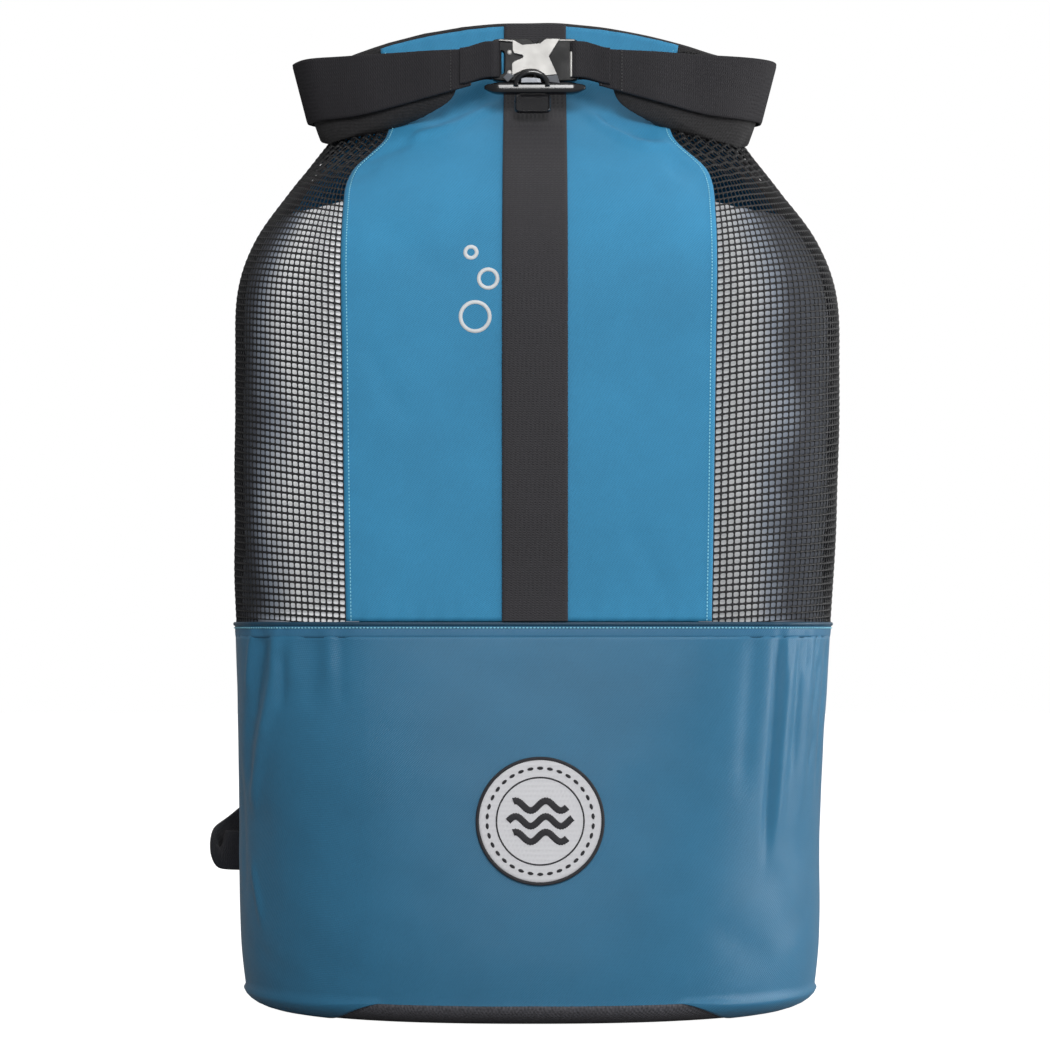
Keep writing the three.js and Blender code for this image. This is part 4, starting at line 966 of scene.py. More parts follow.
left_half, right_half = belt_half(-1), belt_half(1)
belt_path = np.r_[left_half[:0:-1], right_half]
webbing("belt_webbing", belt_path, belt_cloth, ["closure_belt"])
for count, (side, place_x) in enumerate([(-1, 50.5), (-1, 38), (1, 39.5), (1, 51.5)]):
    half_rows = left_half if side < 0 else right_half
    near = np.argsort(np.abs(np.abs(half_rows[:, 0]) - place_x) + 200 * (half_rows[:, 1] > -20))[0]
    centre, upward, out = half_rows[near, :3], half_rows[near, 3:6], half_rows[near, 6:9]
    tall = half_rows[near, 9] * 0.46
    row = centre + out * 0.95 + np.linspace(-tall, tall, 30)[:, None] * upward
    stitch_row("belt_stitches_%d" % count, row, np.tile(out, (30, 1)), dark_thread, pitch=1.9, wide=0.9)
print("belt runs", round(lengths_along(belt_path[:, None, :3], 0)[-1, 0]), "mm")

# %% [markdown]
# The roll is the bag's mouth, flattened and rolled up a few times. Its ends are turned forward and hang
# below the belt as soft thick folds of dark knitted cloth.

# %% The roll and its ends
def smooth_ring(corners, count):
    """A closed smooth curve through corner points: rows are stations, by a periodic cubic through its corners."""
    n = corners.shape[1]
    t = np.arange(count) * n / count
    i = t.astype(int)
    f = (t - i)[None, :, None]
    p0, p1, p2, p3 = (corners[:, (i + k) % n] for k in (-1, 0, 1, 2))
    return p1 + 0.5 * f * (p2 - p0 + f * (2 * p0 - 5 * p1 + 4 * p2 - p3 + f * (3 * (p1 - p2) + p3 - p0)))


for side, label in SIDES:
    share = np.linspace(0.34, 0.94, 90)
    centre, out, upward, place = loop_at(share, side)
    tall, thick = END_TALL * along(LOOP, TALL, place), END_THICK * along(LOOP, THICK, place)
    raised = tall / 2 - along(LOOP, LOW, place) * STRAP_WIDTH
    centre = centre - out * (thick / 2 + 0.9)[:, None] + upward * raised[:, None]
    hang = (8.5 + 3 * (side > 0)) * smooth(place, 3.5, 5.5) * (1 - 0.6 * smooth(place, 8, 10))
    tall, centre = tall + hang, centre - upward * (hang / 2)[:, None]
    turn = np.linspace(0, 2 * np.pi, 64, endpoint=False)
    oval = signed_power(np.stack([np.cos(turn), np.sin(turn)], -1), 0.7) / 2
    FT, FR = np.meshgrid(turn, share * 260)
    folds = 1 - 0.09 * np.abs(np.sin(2.5 * FT + 0.05 * FR)) ** 0.6 - 0.05 * waves(FT * 12, FR, 26, 61 + side)
    ends = np.sqrt(np.clip(1 - np.abs(np.linspace(-1, 1, 90)) ** 10, 0.05, 1))
    section = oval[None] * np.stack([tall, thick], -1)[:, None] * folds[..., None] * ends[:, None, None]
    closed_sweep(label + "_roll_fold", carried(centre, upward, out, section), roll_cloth,
                 [label + "_roll_end"])

roll_u = np.linspace(-1, 1, 81)
roll_x = roll_u * (NECK_WIDTH / 2 - 5)
roll_drop = ARCH_DROP * (roll_x / (NECK_WIDTH / 2)) ** 2
roll_front = front_spot(np.where(np.abs(roll_x) < 1, 1, roll_x), np.full(81, 596.0), -2.7)[:, 1]
roll_mid = (TOP_BACK - 1.5) / 2
roll_rear = roll_mid + (LOOP_BACK - 0.9 - roll_mid) * (np.sqrt(1 - np.abs(roll_u) ** 4) * 0.75 + 0.25)
roll_top, roll_foot = BAG_HEIGHT - roll_drop, back_spot(roll_x, np.full(81, BACK_TOP), 0.0)[:, 2] + 0.6
corner_y = [roll_front, 0.8 * roll_front + 0.2 * roll_rear, 0.25 * roll_front + 0.75 * roll_rear, roll_rear, roll_rear,
            0.3 * roll_mid + 0.7 * roll_rear, roll_mid - 2 + 0 * roll_x, roll_front]
corner_z = [roll_top - 1.5, roll_top + 2.6, roll_top + 2.6, roll_top - 4,
            roll_foot + 6, roll_foot, roll_foot, roll_foot + 9]
roll_corners = np.stack([np.stack([roll_x, y, z], -1) for y, z in zip(corner_y, corner_z)], 1)
roll_rings = smooth_ring(roll_corners, 56)
roll_middle = roll_rings.mean(1, keepdims=True)
RT, RX = np.meshgrid(np.arange(56) * 2 * np.pi / 56, roll_x)
shrink = 0.97 - 0.05 * np.abs(np.sin(2 * RT + 0.01 * RX)) ** 0.5 - 0.02 * waves(RX, RT * 12, 34, 71)
closed_sweep("rolled_mouth", roll_middle + (roll_rings - roll_middle) * (shrink[..., None] * (0, 1, 1) + (1, 0, 0)),
             roll_cloth, ["top_roll"])

# %% [markdown]
# The shoulder straps hang down the back. A strap has a padded upper part with a bound edge, an adjuster, and
# narrow webbing that goes round to a small cloth wing on the band. One side's webbing has a slack loop.

# %% Curves for the shoulder straps
SIDE_WEBBING, PAD_WIDTH, PAD_THICK = 25, 58, 9


def through(points, count):
    """A smooth curve through points with time steps of sqrt(length), resampled to even steps."""
    points = np.asarray(points, float)
    ends = np.r_[[2 * points[0] - points[1]], points, [2 * points[-1] - points[-2]]]
    out = []
    for p0, p1, p2, p3 in zip(ends, ends[1:], ends[2:], ends[3:]):
        d0, d1, d2 = (max(np.linalg.norm(b - a) ** 0.5, 1e-6) for a, b in ((p0, p1), (p1, p2), (p2, p3)))
        m1 = ((p1 - p0) / d0 - (p2 - p0) / (d0 + d1) + (p2 - p1) / d1) * d1
        m2 = ((p2 - p1) / d1 - (p3 - p1) / (d1 + d2) + (p3 - p2) / d2) * d1
        t = np.linspace(0, 1, 24, endpoint=False)[:, None]
        out.append(p1 + t * (m1 + t * (3 * (p2 - p1) - 2 * m1 - m2 + t * (m1 + m2 - 2 * (p2 - p1)))))
    curve = np.r_[np.concatenate(out), points[-1:]]
    run = lengths_along(curve[:, None], 0)[:, 0]
    at = np.linspace(0, run[-1], count)
    return np.stack([np.interp(at, run, curve[:, k]) for k in range(3)], -1)


def pad_line(side, count):
    """Middle line of a pad: bowed out from the back by 24 sin(pi t^0.8) + 9 t."""
    t = np.linspace(0, 1, 15)
    stations = back_spot(side * (48 + 36 * t), 506 - 244 * t, 4.8 + 24 * np.sin(np.pi * t ** 0.8) + 9 * t)
    return through(stations, count)


def pad_frame(line):
    """Across and outward directions along a pad's line."""
    tangent = unit(np.gradient(line, axis=0))
    across = unit(np.array([1.0, 0, 0]) - tangent * tangent[:, :1])
    return across, unit(np.cross(across, tangent))


# %% [markdown]
# Foam between two cloths, sewn at the edge, swells in its middle. The cloth simulation finds that shape by
# itself: the pad starts a little thin, its edge is held, and air pressure swells it for a few frames.

# %% The pads, swollen by simulation
PAD_VOXEL, PAD_CAP, PAD_HELD, PAD_PRESSURE, PAD_FRAMES = 0.0034, 0.0035, 0.005, 4, 20


def pad_width(t):
    """Narrower towards the foot."""
    return PAD_WIDTH * (1 - 0.26 * smooth(t, 0.55, 1))


def swollen(start, edge_at):
    """Remeshes a closed form, swells it with its edge held, caps each point's way, and keeps the result."""
    scene = bpy.context.scene
    voxel = modifier(start, "REMESH", mode="VOXEL", voxel_size=PAD_VOXEL)
    graph = bpy.context.evaluated_depsgraph_get()
    even = bpy.data.meshes.new_from_object(start.evaluated_get(graph))
    start.modifiers.remove(voxel)
    before = np.empty(len(even.vertices) * 3)
    even.vertices.foreach_get("co", before)
    before = before.reshape(-1, 3)
    start.data = even
    near = np.min(np.linalg.norm(before[:, None] - edge_at[None] * MM, axis=-1), 1)
    held = start.vertex_groups.new(name="held")
    held.add(np.flatnonzero(near < PAD_HELD).tolist(), 1.0, "REPLACE")
    air = modifier(start, "CLOTH")
    air.settings.use_pressure = True
    air.settings.uniform_pressure_force = PAD_PRESSURE
    air.settings.effector_weights.gravity = 0
    air.settings.vertex_group_mass = "held"
    for frame_number in range(1, PAD_FRAMES + 1):
        scene.frame_set(frame_number)
    graph = bpy.context.evaluated_depsgraph_get()
    after = np.empty(len(before) * 3)
    start.evaluated_get(graph).data.vertices.foreach_get("co", after)
    start.modifiers.remove(air)
    scene.frame_set(1)
    way = after.reshape(-1, 3) - before
    length = np.linalg.norm(way, axis=1, keepdims=True)
    way *= np.minimum(1, PAD_CAP / np.maximum(length, 1e-9))
    even.vertices.foreach_set("co", (before + way).ravel())
    even.update()
    even.polygons.foreach_set("use_smooth", np.ones(len(even.polygons), bool))
    modifier(start, "SUBSURF", levels=1, render_levels=1)


for side, label in SIDES:
    line = pad_line(side, 90)
    across, out = pad_frame(line)
    t = np.linspace(0, 1, 90)
    ends = np.sqrt(np.clip(1 - np.abs(2 * t - 1) ** 24, 0.02, 1))
    width = pad_width(t) * ends
    turn = np.linspace(0, 2 * np.pi, 40, endpoint=False)
    lens = np.stack([np.cos(turn), signed_power(np.sin(turn), 0.5)], -1) / 2
    section = lens[None] * np.stack([width, 0.62 * PAD_THICK * ends], -1)[:, None]
    pad = closed_sweep(label + "_pad_cloth", carried(line, across, out, section), pad_cloth,
                       [label + "_shoulder_pad"])
    rim = np.r_[line + across * (width / 2)[:, None], (line - across * (width / 2)[:, None])[::-1]]
    swollen(pad, rim)
    rim_out = np.r_[out, out[::-1]]
    rows = resampled(np.c_[np.r_[rim, rim[:1]], np.r_[rim_out, rim_out[:1]]], 1.6)
    tangent = unit(np.gradient(rows[:, :3], axis=0))
    beyond = unit(np.cross(rows[:, 3:], tangent))
    binding = carried(rows[:, :3], beyond, unit(rows[:, 3:]), rounded(12, 2.4) * (5.0, 3.2))
    closed_sweep(label + "_pad_binding", binding, webbing_cloth)
    print(label, "pad:", len(pad.data.polygons), "faces")

# %% [markdown]
# Below each pad the webbing runs through the adjuster and round the side to its wing.

# %% The side webbings and wings
ADJUSTER_TALL, WING_HEIGHT = 30, 88
for side, label, slack in ((-1, "left", 1.0), (1, "right", 0.1)):
    def at_skin(degrees, z, lift):
        """One point of the body's skin, lifted off it."""
        return skin(np.array([side * np.radians(degrees)]), np.array([float(z)]), np.array([-float(lift)]))[0]

    def mixed(tight, loose):
        """Between the tight and the loose value, by the slack."""
        return tight + (loose - tight) * slack
    foot = pad_line(side, 90)[-1]
    middle = foot[2] - 2.7 - ADJUSTER_TALL / 2
    threaded = foot[1] - 1.2
    root, end = at_skin(124, WING_HEIGHT, 2.7), at_skin(130, WING_HEIGHT, 12)
    outward = unit(end - root)
    route = through([
        (foot[0], threaded, foot[2] - 3), (foot[0], threaded, middle), (foot[0], threaded, middle - 15),
        (foot[0], threaded, middle - 24), back_spot(np.array([side * 106.0]), np.array([200.0]), 9)[0],
        at_skin(138, 149.6, mixed(12, 20)), at_skin(mixed(134, 119), mixed(118.2, 101), mixed(15, 40)),
        at_skin(mixed(131, 111), mixed(101.4, 91), mixed(16, 36)), end + outward * 6, end + outward * 0.9,
    ], 160)
    share = np.linspace(0, 1, 160)
    tangent = unit(np.gradient(route, axis=0))
    turned = smooth(share, 0.2, 0.6)[:, None]
    facing = np.array([0, 1, 0]) * (1 - turned) + unit(route * (1, 1, 0)) * turned
    across = unit(np.cross(tangent, facing))
    out = unit(np.cross(across, tangent))
    ones = np.ones(160)
    side_path = np.c_[route, across, out, SIDE_WEBBING * ones, WEBBING_THICK * ones]
    webbing(label + "_narrow_webbing", side_path, webbing_cloth, [label + "_side_webbing"])
    wing_t = np.linspace(0, 1, 24)
    flat = unit(np.cross(outward, np.array([0, 0, 1.0])))
    wing_section = rounded(28, 5)[None] * np.stack([34 - 9 * wing_t, 3 - 0.5 * np.sin(np.pi * wing_t)], -1)[:, None]
    wing_rings = carried(root + wing_t[:, None] * (end - root), np.tile([0, 0, 1.0], (24, 1)), np.tile(flat, (24, 1)),
                         wing_section)
    closed_sweep(label + "_wing_cloth", wing_rings, band_cloth, [label + "_wing"])

# %% [markdown]
# Hard pieces need their own finishes: satin steel, glossy and matt black plastic with a fine grain, and soft
# black rubber. The mottle group varies their roughness and tone, so the surfaces don't look freshly made.

# %% Metal, plastic and rubber
def hard_material(name, colour, roughness, metallic=0.0, grain=900.0, depth=0.00004, spread=0.12, **sockets):
    """Fine grain as bump, and roughness that varies by a slow mottle."""
    made, tree, shader = material(name, colour, roughness, metallic, **sockets)
    place = place_in(tree)
    slow = in_group(tree, mottle_group, Place=place, Scale=60.0, Least=roughness - spread / 2, Most=roughness + spread)
    fine = in_group(tree, mottle_group, Place=place, Scale=grain, Least=0.0, Most=1.0)
    tone = in_group(tree, mottle_group, Place=place, Scale=35.0, Least=0.9, Most=1.08)
    tree.links.new(slow.outputs[0], shader.inputs["Roughness"])
    tree.links.new(scaled_colour(tree, colour, tone.outputs[0]), shader.inputs["Base Color"])
    bump(tree, shader, fine.outputs[0], 0.4, depth)
    return made


satin_steel = hard_material("satin_steel", (0.56, 0.55, 0.53), 0.5, metallic=0.5, depth=0.00003)
dull_steel = hard_material("dull_steel", (0.2, 0.21, 0.23), 0.38, metallic=0.7)
black_gloss = hard_material("black_gloss", (0.0042, 0.0049, 0.007), 0.16, depth=0.00002, spread=0.06, Coat_Weight=0.3)
black_matt = hard_material("black_matt", (0.0028, 0.0028, 0.0032), 0.38, Specular_IOR_Level=0.22)
tag_rubber = hard_material("tag_rubber", (0.012, 0.012, 0.014), 0.24, depth=0.00004)

# %% [markdown]
# The buckle is a black moulding with a slot at each end, a pressed steel cross on its face, and a glossy bar
# below. A frame is the surface between two loops of points, its slot and its outline, with rounded edges.

# %% The buckle's moulding
BUCKLE_MIDDLE = BAG_HEIGHT - 32
BUCKLE_FRONT, BUCKLE_BACK = -65.4, -60.4
EDGE_TURN = np.radians([0, 22.5, 45, 67.5, 90])


def soft_box(x, z, wide, tall, power=7, count=64):
    """A rounded rectangle as a superellipse round (x, z)."""
    return rounded(count, power) * (wide, tall) + (x, z)


def plated(loop, y):
    """Points (x, y, z) from pairs (x, z)."""
    return np.stack([loop[:, 0], np.full(len(loop), float(y)), loop[:, 1]], -1)


def framed(name, outer, slot_loop, front, back, edge, material, stands_for=()):
    """A closed ring of surface: slot wall, rounded edge, face, rounded edge, outer wall, back."""
    way = unit(np.c_[outer - slot_loop, np.zeros(len(outer))])[:, :2]
    lines = [plated(slot_loop, back)]
    lines += [plated(slot_loop + way * edge * (1 - np.cos(t)), front + edge * (1 - np.sin(t))) for t in EDGE_TURN]
    lines += [plated(outer - way * edge * (1 - np.cos(t)), front + edge * (1 - np.sin(t))) for t in EDGE_TURN[::-1]]
    lines += [plated(outer, back)]
    points = np.array(lines + [lines[0]])
    rows, count = points.shape[:2]
    faces = grid_faces(rows, count, wrap=True) % ((rows - 1) * count)
    made = piece(name, points[:-1].reshape(-1, 3), faces, material, stands_for=stands_for, closed=True)
    modifier(made, "WEIGHTED_NORMAL", keep_sharp=True)
    return made


framed("buckle_left_body", soft_box(-13.4, BUCKLE_MIDDLE, 26.2, 25.2),
       soft_box(-20.9, BUCKLE_MIDDLE - 1.6, 5.2, 14.0, 4),
       BUCKLE_FRONT, BUCKLE_BACK, 0.8, black_matt, ["buckle_frame"])
framed("buckle_right_body", soft_box(13.4, BUCKLE_MIDDLE, 26.2, 25.2), soft_box(23.6, BUCKLE_MIDDLE, 1.8, 21.6, 6),
       BUCKLE_FRONT, BUCKLE_BACK, 0.8, black_matt)

# %% [markdown]
# Flat parts with a drawn outline are a front and a back face with a wall between. A Bevel modifier rounds
# their edges, and weighted normals keep the broad faces flat.

# %% The steel cross, its feet, rivets and pin
def drawn_plate(name, outline, front, thick, material, bevel=0.35, stands_for=(), lean=0.0):
    """outline has pairs (x, z) from the buckle's middle; lean moves the face back by each mm below its top."""
    outline = np.asarray(outline, float) + (0, BUCKLE_MIDDLE)
    n = len(outline)
    back_by = lean * (outline[:, 1].max() - outline[:, 1])
    face = np.c_[outline[:, 0], front + back_by, outline[:, 1]]
    points = np.r_[face, face + (0, thick, 0)]
    i = np.arange(n)
    walls = np.stack([i, (i + 1) % n, n + (i + 1) % n, n + i], 1)
    made = piece(name, points, [i[None], (n + i[::-1])[None], walls[:, ::-1]], material,
                 stands_for=stands_for, closed=True)
    modifier(made, "BEVEL", width=bevel * MM, segments=3, limit_method="ANGLE", angle_limit=0.5)
    modifier(made, "WEIGHTED_NORMAL", keep_sharp=True)
    return made


# Outline from the buckle's middle, in mm: right, up; it starts at the end of the upper left arm.
CROSS = np.array([
    (-21.7, 11.1), (-13.4, 10.4), (-13.4, 5.5), (-12.4, 3.6), (-7.4, 2.4), (-7.0, 1.6), (-7.4, 0.8), (-12.4, -1.3),
    (-13.7, -2.6), (-13.7, -9.7), (-9.1, -7.5), (-7.2, -6.6), (-5.1, -6.1), (-3.4, -5.9), (-1.7, -5.9), (0.3, -6.1),
    (2.0, -6.6), (4.1, -8.2), (5.5, -9.8), (13.2, -9.2), (8.3, 1.8), (14.9, 12.2), (6.9, 12.2), (5.5, 11.5),
    (3.2, 9.5), (-2.2, 9.0), (-7.7, 8.6), (-12.5, 11.3), (-21.7, 11.8),
])
drawn_plate("steel_cross", CROSS, BUCKLE_FRONT - 1.7, 1.5, satin_steel, 0.3, ["buckle_plate"])
FEET = {"left": [(-16.3, -8.2), (-12.1, -9.6), (-16.3, -13.5), (-19.1, -10.6)],
        "right": [(5.4, -10.1), (7.5, -13.4), (14.9, -14.1), (13.4, -9.5)]}
for label, outline in FEET.items():
    drawn_plate("steel_%s_foot" % label, outline, BUCKLE_FRONT - 1.6, 1.0, dull_steel, 0.25, lean=0.25)
drawn_plate("steel_top_edge", [(14.6, 11.9), (14.6, 11.2), (23.6, 11.2), (23.6, 11.9)], BUCKLE_FRONT - 0.5, 1.2,
            satin_steel, 0.15)


def turned(name, profile, centre, axis, material, slot, count=32):
    """A profile of (distance, radius) turned round an axis through centre."""
    axis = unit(np.asarray(axis, float))
    helper = np.array([0, 0, 1.0]) if abs(axis[2]) < 0.9 else np.array([1.0, 0, 0])
    one = unit(np.cross(axis, helper))
    two = np.cross(axis, one)
    turn = np.linspace(0, 2 * np.pi, count, endpoint=False)
    profile = np.asarray(profile, float)
    rings = (np.asarray(centre, float) + profile[:, None, :1] * axis
             + profile[:, None, 1:] * (np.cos(turn)[:, None] * one + np.sin(turn)[:, None] * two))
    return closed_sweep(name, rings, material)


dome_turn = np.linspace(0, 1.5, 8)
dome = np.c_[np.r_[-0.8, 0, 0.5 * np.sin(dome_turn)], np.r_[1.5, 1.5, 1.5 * np.cos(dome_turn)]]
for label, up in (("upper", 4.4), ("lower", -7.7)):
    turned(label + "_rivet", dome, (-15.2, BUCKLE_FRONT, BUCKLE_MIDDLE + up), (0, -1, 0), satin_steel, "silver_plate")
rod = np.array([(-7.6, 0.5), (-7.4, 0.95), (-7, 1.0), (7, 1.0), (7.4, 0.95), (7.6, 0.5)])
turned("steel_pin", rod, (21.7, BUCKLE_FRONT - 0.5, BUCKLE_MIDDLE - 2.9), (0, 0, 1), satin_steel, "silver_plate")

# %% [markdown]
# The bar under the buckle is glossy and rounded, thinner at its ends, and a small arch stands up from its
# middle in front of the cross. The soft tag hangs from it on the strap.

# %% The bar, its arch and the tag
RAIL_MIDDLE = np.array([0, -62.9, BUCKLE_MIDDLE - 16.8])
u = np.linspace(-1, 1, 61)
rail_centre = RAIL_MIDDLE + np.stack([u * 30.3, 0 * u, 0.6 * smooth(np.abs(u), 0.82, 1)], -1)
rail_size = 7.2 * np.sqrt(np.clip(1 - np.abs(u) ** 14, 0.15, 1)) * (1 - 0.28 * smooth(np.abs(u), 0.72, 0.95))
along_y, along_z = np.tile([0, 1.0, 0], (61, 1)), np.tile([0, 0, 1.0], (61, 1))
closed_sweep("glossy_bar", carried(rail_centre, along_y, along_z, rounded(36, 3.2)[None] * rail_size[:, None, None]),
             black_gloss, ["buckle_rail"])
arch_turn = np.linspace(0, np.pi, 40)
arch_path = np.stack([-2.0 - 9.4 * np.cos(arch_turn), -66.6 - 1.6 * np.sin(arch_turn),
                      RAIL_MIDDLE[2] + 0.6 + 8.2 * np.sin(arch_turn) ** 0.8], -1)
arch_out = unit(np.cross(unit(np.gradient(arch_path, axis=0)), (0, 1.0, 0)))
closed_sweep("bar_arch", carried(arch_path, arch_out, along_y[:40], rounded(20, 2.6) * (3.0, 2.8)),
             black_gloss)
drawn_plate("arch_tongue", [(-8.2, -11.4), (-8.6, -14.2), (4.0, -14.2), (3.2, -11.6), (0, -11.0), (-5, -10.8)],
            BUCKLE_FRONT - 2.0, 1.2, dull_steel, 0.35)

TAG_WIDE, TAG_TALL, TAG_TILT = 21.6, 13.4, np.radians(24)
tag_r = np.r_[0.02, np.linspace(0.1, 0.8, 8), np.linspace(0.83, 1.0, 12)]
tag_height = 0.75 * np.exp(-((tag_r - 0.93) / 0.035) ** 2) - 1.2 * smooth(tag_r, 0.965, 1.0) ** 2 + 0.12 * (1 - tag_r)
tag_loop = rounded(72, 6)
tag_rings = np.stack([tag_loop * r * (TAG_WIDE, TAG_TALL) for r in np.r_[tag_r, tag_r[::-2]]])
tag_lift = np.r_[tag_height + 1.3, np.zeros(len(tag_r[::-2]))]
down = np.array([0, -np.sin(TAG_TILT), -np.cos(TAG_TILT)])
face = np.array([0, -np.cos(TAG_TILT), np.sin(TAG_TILT)])
tag_head = RAIL_MIDDLE + (-1.4, 1.2, -3.4)
tag_points = (tag_head + (TAG_TALL / 2) * down + tag_rings[..., :1] * (1, 0, 0) - tag_rings[..., 1:] * down
              + tag_lift[:, None, None] * face)
closed_sweep("soft_tag", tag_points, tag_rubber, ["pull_tag", "tag_rim"])

# %% [markdown]
# Each end of the belt is sewn into a loop of webbing that is folded round the buckle's outer bar.

# %% The strap loops
for side, label in SIDES:
    bend = np.linspace(-np.pi / 2, np.pi / 2, 24)
    reach, pinch, tail = 4.1, 1.9, 20.0
    arc = np.stack([-reach * np.cos(bend), reach * np.sin(bend)], -1)
    ply = np.array([(tail, pinch), (tail * 0.8, pinch), (tail * 0.55, pinch + 0.1),
                    (tail * 0.25, 0.5 * (pinch + reach))])
    plan = np.r_[ply * (1, -1), arc, ply[::-1]]
    loop_path = through(np.c_[side * (25.0 + plan[:, 0]), -62.9 + plan[:, 1],
                              BUCKLE_MIDDLE - 3.6 * smooth(plan[:, 0], 3, tail)], 90)
    tangent = unit(np.gradient(loop_path, axis=0))
    upward = np.tile([0, 0, 1.0], (90, 1))
    out = unit(np.cross(tangent, upward)) * side
    ones = np.ones(90)
    webbing(label + "_folded_loop", np.c_[loop_path, upward, out, 21.6 * ones, 1.7 * ones], belt_cloth,
            [label + "_strap_loop"])

# %% [markdown]
# The round patch is satin stitched: white thread laid in close ridges, a black corded edge, one dark ring,
# a ring of short stitches, and three plain waves in the middle.

# %% The round patch
PATCH_SIDE, PATCH_HEIGHT = 3, 121
WHITE = (0.8, 0.8, 0.83)
patch_white, white_tree, white_shader = material("patch_white", WHITE, 0.55, Sheen_Weight=0.3, Sheen_Roughness=0.3)
satin = in_group(white_tree, weave_group, Map=thread_map(white_tree), Across=2.6 * 1000 * np.pi,
                 Up=0.35 * 1000 * np.pi, Slant=0.3)
white_shade = calc(white_tree, "MULTIPLY_ADD", satin.outputs["Thread"], 0.12, 0.93)
white_tree.links.new(scaled_colour(white_tree, WHITE, white_shade), white_shader.inputs["Base Color"])
bump(white_tree, white_shader, satin.outputs["Height"], 0.6, 0.00015)
patch_black = cloth_material("patch_black", (0.022, 0.021, 0.026), 0.6, (2.6, 0.4), contrast=0.3, depth=0.0002)


def on_patch(radius, turn, lift):
    """A point of the band's face at a radius and turn round the patch's middle."""
    x, z = PATCH_SIDE + radius * np.sin(turn), PATCH_HEIGHT + radius * np.cos(turn)
    return front_spot(x, z, lift)


patch_turn = np.linspace(0, 2 * np.pi, 144, endpoint=False)
patch_r = np.r_[0.5, np.linspace(3, 35.4, 24), 35.7, 35.5, 30, 15, 1.0]
patch_lift = np.r_[np.full(24, 1.7), 1.5, 0.9, 0.7, 0.7, 0.7, 0.7]
patch_rings = np.array([on_patch(np.full(144, r), patch_turn, lift) for r, lift in zip(patch_r, patch_lift)])
patch = closed_sweep("satin_disc", patch_rings, patch_white, ["round_patch"])
flat_uv = np.array([np.stack([r * np.sin(patch_turn), r * np.cos(patch_turn)], -1) for r in patch_r]).reshape(-1, 2)
corner = np.empty(len(patch.data.loops), int)
patch.data.loops.foreach_get("vertex_index", corner)
patch.data.uv_layers["thread"].uv.foreach_set("vector", (np.r_[flat_uv, [[0, 0], [0, 0]]][corner] * MM).ravel())


def cord_on_patch(name, path, across, tall, stands_for=()):
    """A satin cord along a path of points on the patch, with its twist as fine ridges."""
    path = resampled(path, 0.35)
    out = np.tile([0, -1.0, 0], (len(path), 1))
    tangent = unit(np.gradient(path, axis=0))
    aside = unit(np.cross(out, tangent))
    ridge = 1 + 0.1 * np.sin(np.arange(len(path)) * 2.1)
    section = rounded(12, 2.2)[None] * np.stack([across * ridge, tall * ridge], -1)[:, None]
    closed_sweep(name, carried(path, aside, out, section), patch_black, stands_for)


full = np.linspace(0, 2 * np.pi, 241)
cord_on_patch("patch_edge", on_patch(np.full(241, 36.2), full, 1.3), 2.0, 1.9, stands_for=["patch_border"])
cord_on_patch("patch_ring", on_patch(np.full(241, 25.2), full, 1.75), 0.95, 0.6)
for k in range(3):
    wave_x = np.linspace(-1, 1, 80) * (18.5 - 3 * abs(k - 1))
    wave_z = 9.0 * (1 - k) + 2.8 * np.sin(wave_x * 0.36 + 0.4)
    cord_on_patch("patch_wave_%d" % k, front_spot(PATCH_SIDE + wave_x, PATCH_HEIGHT + wave_z, 1.75), 4.0, 0.8)
dash_turn = np.linspace(0, 2 * np.pi, 400)
dash_row = on_patch(np.full(400, 30.6), dash_turn, 1.65)
stitch_row("patch_dashes", dash_row, np.tile([0, -1.0, 0], (400, 1)), patch_black, pitch=5.6,
           long=3.6, wide=1.9)

# %% [markdown]
# A small white print sits beside the strap: three rings of different sizes, like bubbles. It's a thin raised
# layer, as ink is, so it has its own few faces on the panel's surface.

# %% The print on the panel
print_white = hard_material("print_white", (0.75, 0.78, 0.8), 0.5)
PRINT_RINGS = [(-34.5, 412.0, 9.5), (-27.0, 434.0, 6.5), (-37.0, 449.5, 4.4)]
for k, (x, z, radius) in enumerate(PRINT_RINGS):
    turn = np.linspace(0, 2 * np.pi, 97)[:-1]
    ink = []
    for r, lift in ((radius, 0.02), (radius, 0.16), (radius - 2.2, 0.16), (radius - 2.2, 0.02)):
        px, pz = x + r * np.cos(turn), z + r * np.sin(turn)
        share = 0.5 + (px - PANEL_OFFSET) / (2 * panel_half(pz))
        ink.append(panel_points(share, pz, panel_relief((share - 0.5) * PANEL_WIDTH, pz) - lift))
    ink = np.array(ink + ink[:1])
    piece("bubble_%d" % k, ink[:-1].reshape(-1, 3), grid_faces(5, 96, wrap=True) % (4 * 96), print_white,
          closed=True)

# %% [markdown]
# The two adjusters keep their plain solids, which are already the right shape, and take the matt plastic.

# %% Finishes for the solids that stay
for node in ("left_adjuster", "right_adjuster"):
    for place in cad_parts[node].material_slots:
        place.material = black_matt

# %% [markdown]
# The room is white all round, as for a cut-out product picture. The camera sees the sky and the floor at full
# white, while the light that they throw on the bag is weaker, and weaker from the left than from the right. A
# broad lamp stands high in front, a second one at the right brushes that side, and a third hangs above.

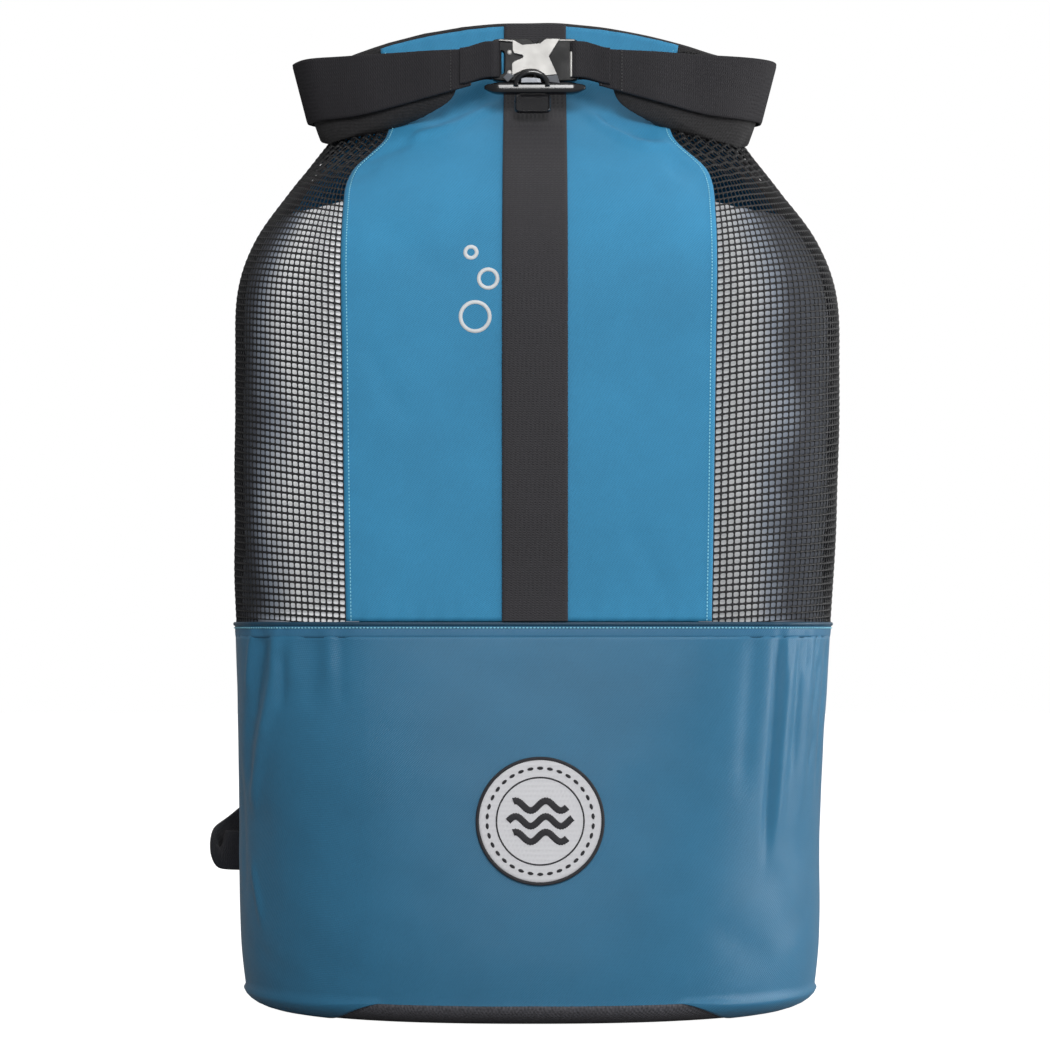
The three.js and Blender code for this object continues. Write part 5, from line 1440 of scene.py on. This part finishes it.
# %% Floor and light
floor_points = np.array([(-6000, -3000, -0.4), (6000, -3000, -0.4), (6000, 6000, -0.4), (-6000, 6000, -0.4)])
floor_mesh = bpy.data.meshes.new("floor")
floor_mesh.from_pydata((floor_points * MM).tolist(), [], [(0, 1, 2, 3)])
floor = bpy.data.objects.new("floor", floor_mesh)
bpy.context.scene.collection.objects.link(floor)
floor_white, floor_tree, floor_shader = material("floor_white", (0.3, 0.3, 0.3), 0.7)
floor_seen = floor_tree.nodes.new("ShaderNodeLightPath")
floor_shader.inputs["Emission Color"].default_value = (1, 1, 1, 1)
floor_tree.links.new(floor_seen.outputs["Is Camera Ray"], floor_shader.inputs["Emission Strength"])
floor_mesh.materials.append(floor_white)

world = bpy.data.worlds.new("white_room")
world.use_nodes = True
sky = world.node_tree.nodes["Background"]
sky.inputs["Color"].default_value = (1, 1, 1, 1)
sky_tree = world.node_tree
sky_seen = sky_tree.nodes.new("ShaderNodeLightPath").outputs["Is Camera Ray"]
sideways = parts_of(sky_tree, place_in(sky_tree, "Generated"))[0]
sky_light = calc(sky_tree, "MULTIPLY_ADD", sideways, 0.28, 0.42)
sky_tree.links.new(calc(sky_tree, "MAXIMUM", sky_light, sky_seen), sky.inputs["Strength"])
bpy.context.scene.world = world
bpy.context.scene.view_settings.view_transform = "Standard"

# Lamps: name, place in metres, side in metres, power in watts, aimed at a point on the bag.
LAMPS = [("key", (0.25, -2.5, 1.4), 0.9, 34), ("side", (2.4, 0.05, 0.5), 0.8, 27), ("top", (0.1, 0.2, 2.4), 1.4, 9)]
for lamp_name, place, side, power in LAMPS:
    lamp_data = bpy.data.lights.new(lamp_name, "AREA")
    lamp_data.shape, lamp_data.size, lamp_data.energy = "SQUARE", side, power
    lamp = bpy.data.objects.new(lamp_name, lamp_data)
    towards = np.array([0, 0, 0.3]) - place
    lamp.location = place
    tilted = np.arccos(-towards[2] / np.linalg.norm(towards))
    lamp.rotation_euler = (tilted, 0, np.arctan2(towards[1], towards[0]) - np.pi / 2)
    bpy.context.scene.collection.objects.link(lamp)
print("lamps:", len(LAMPS))
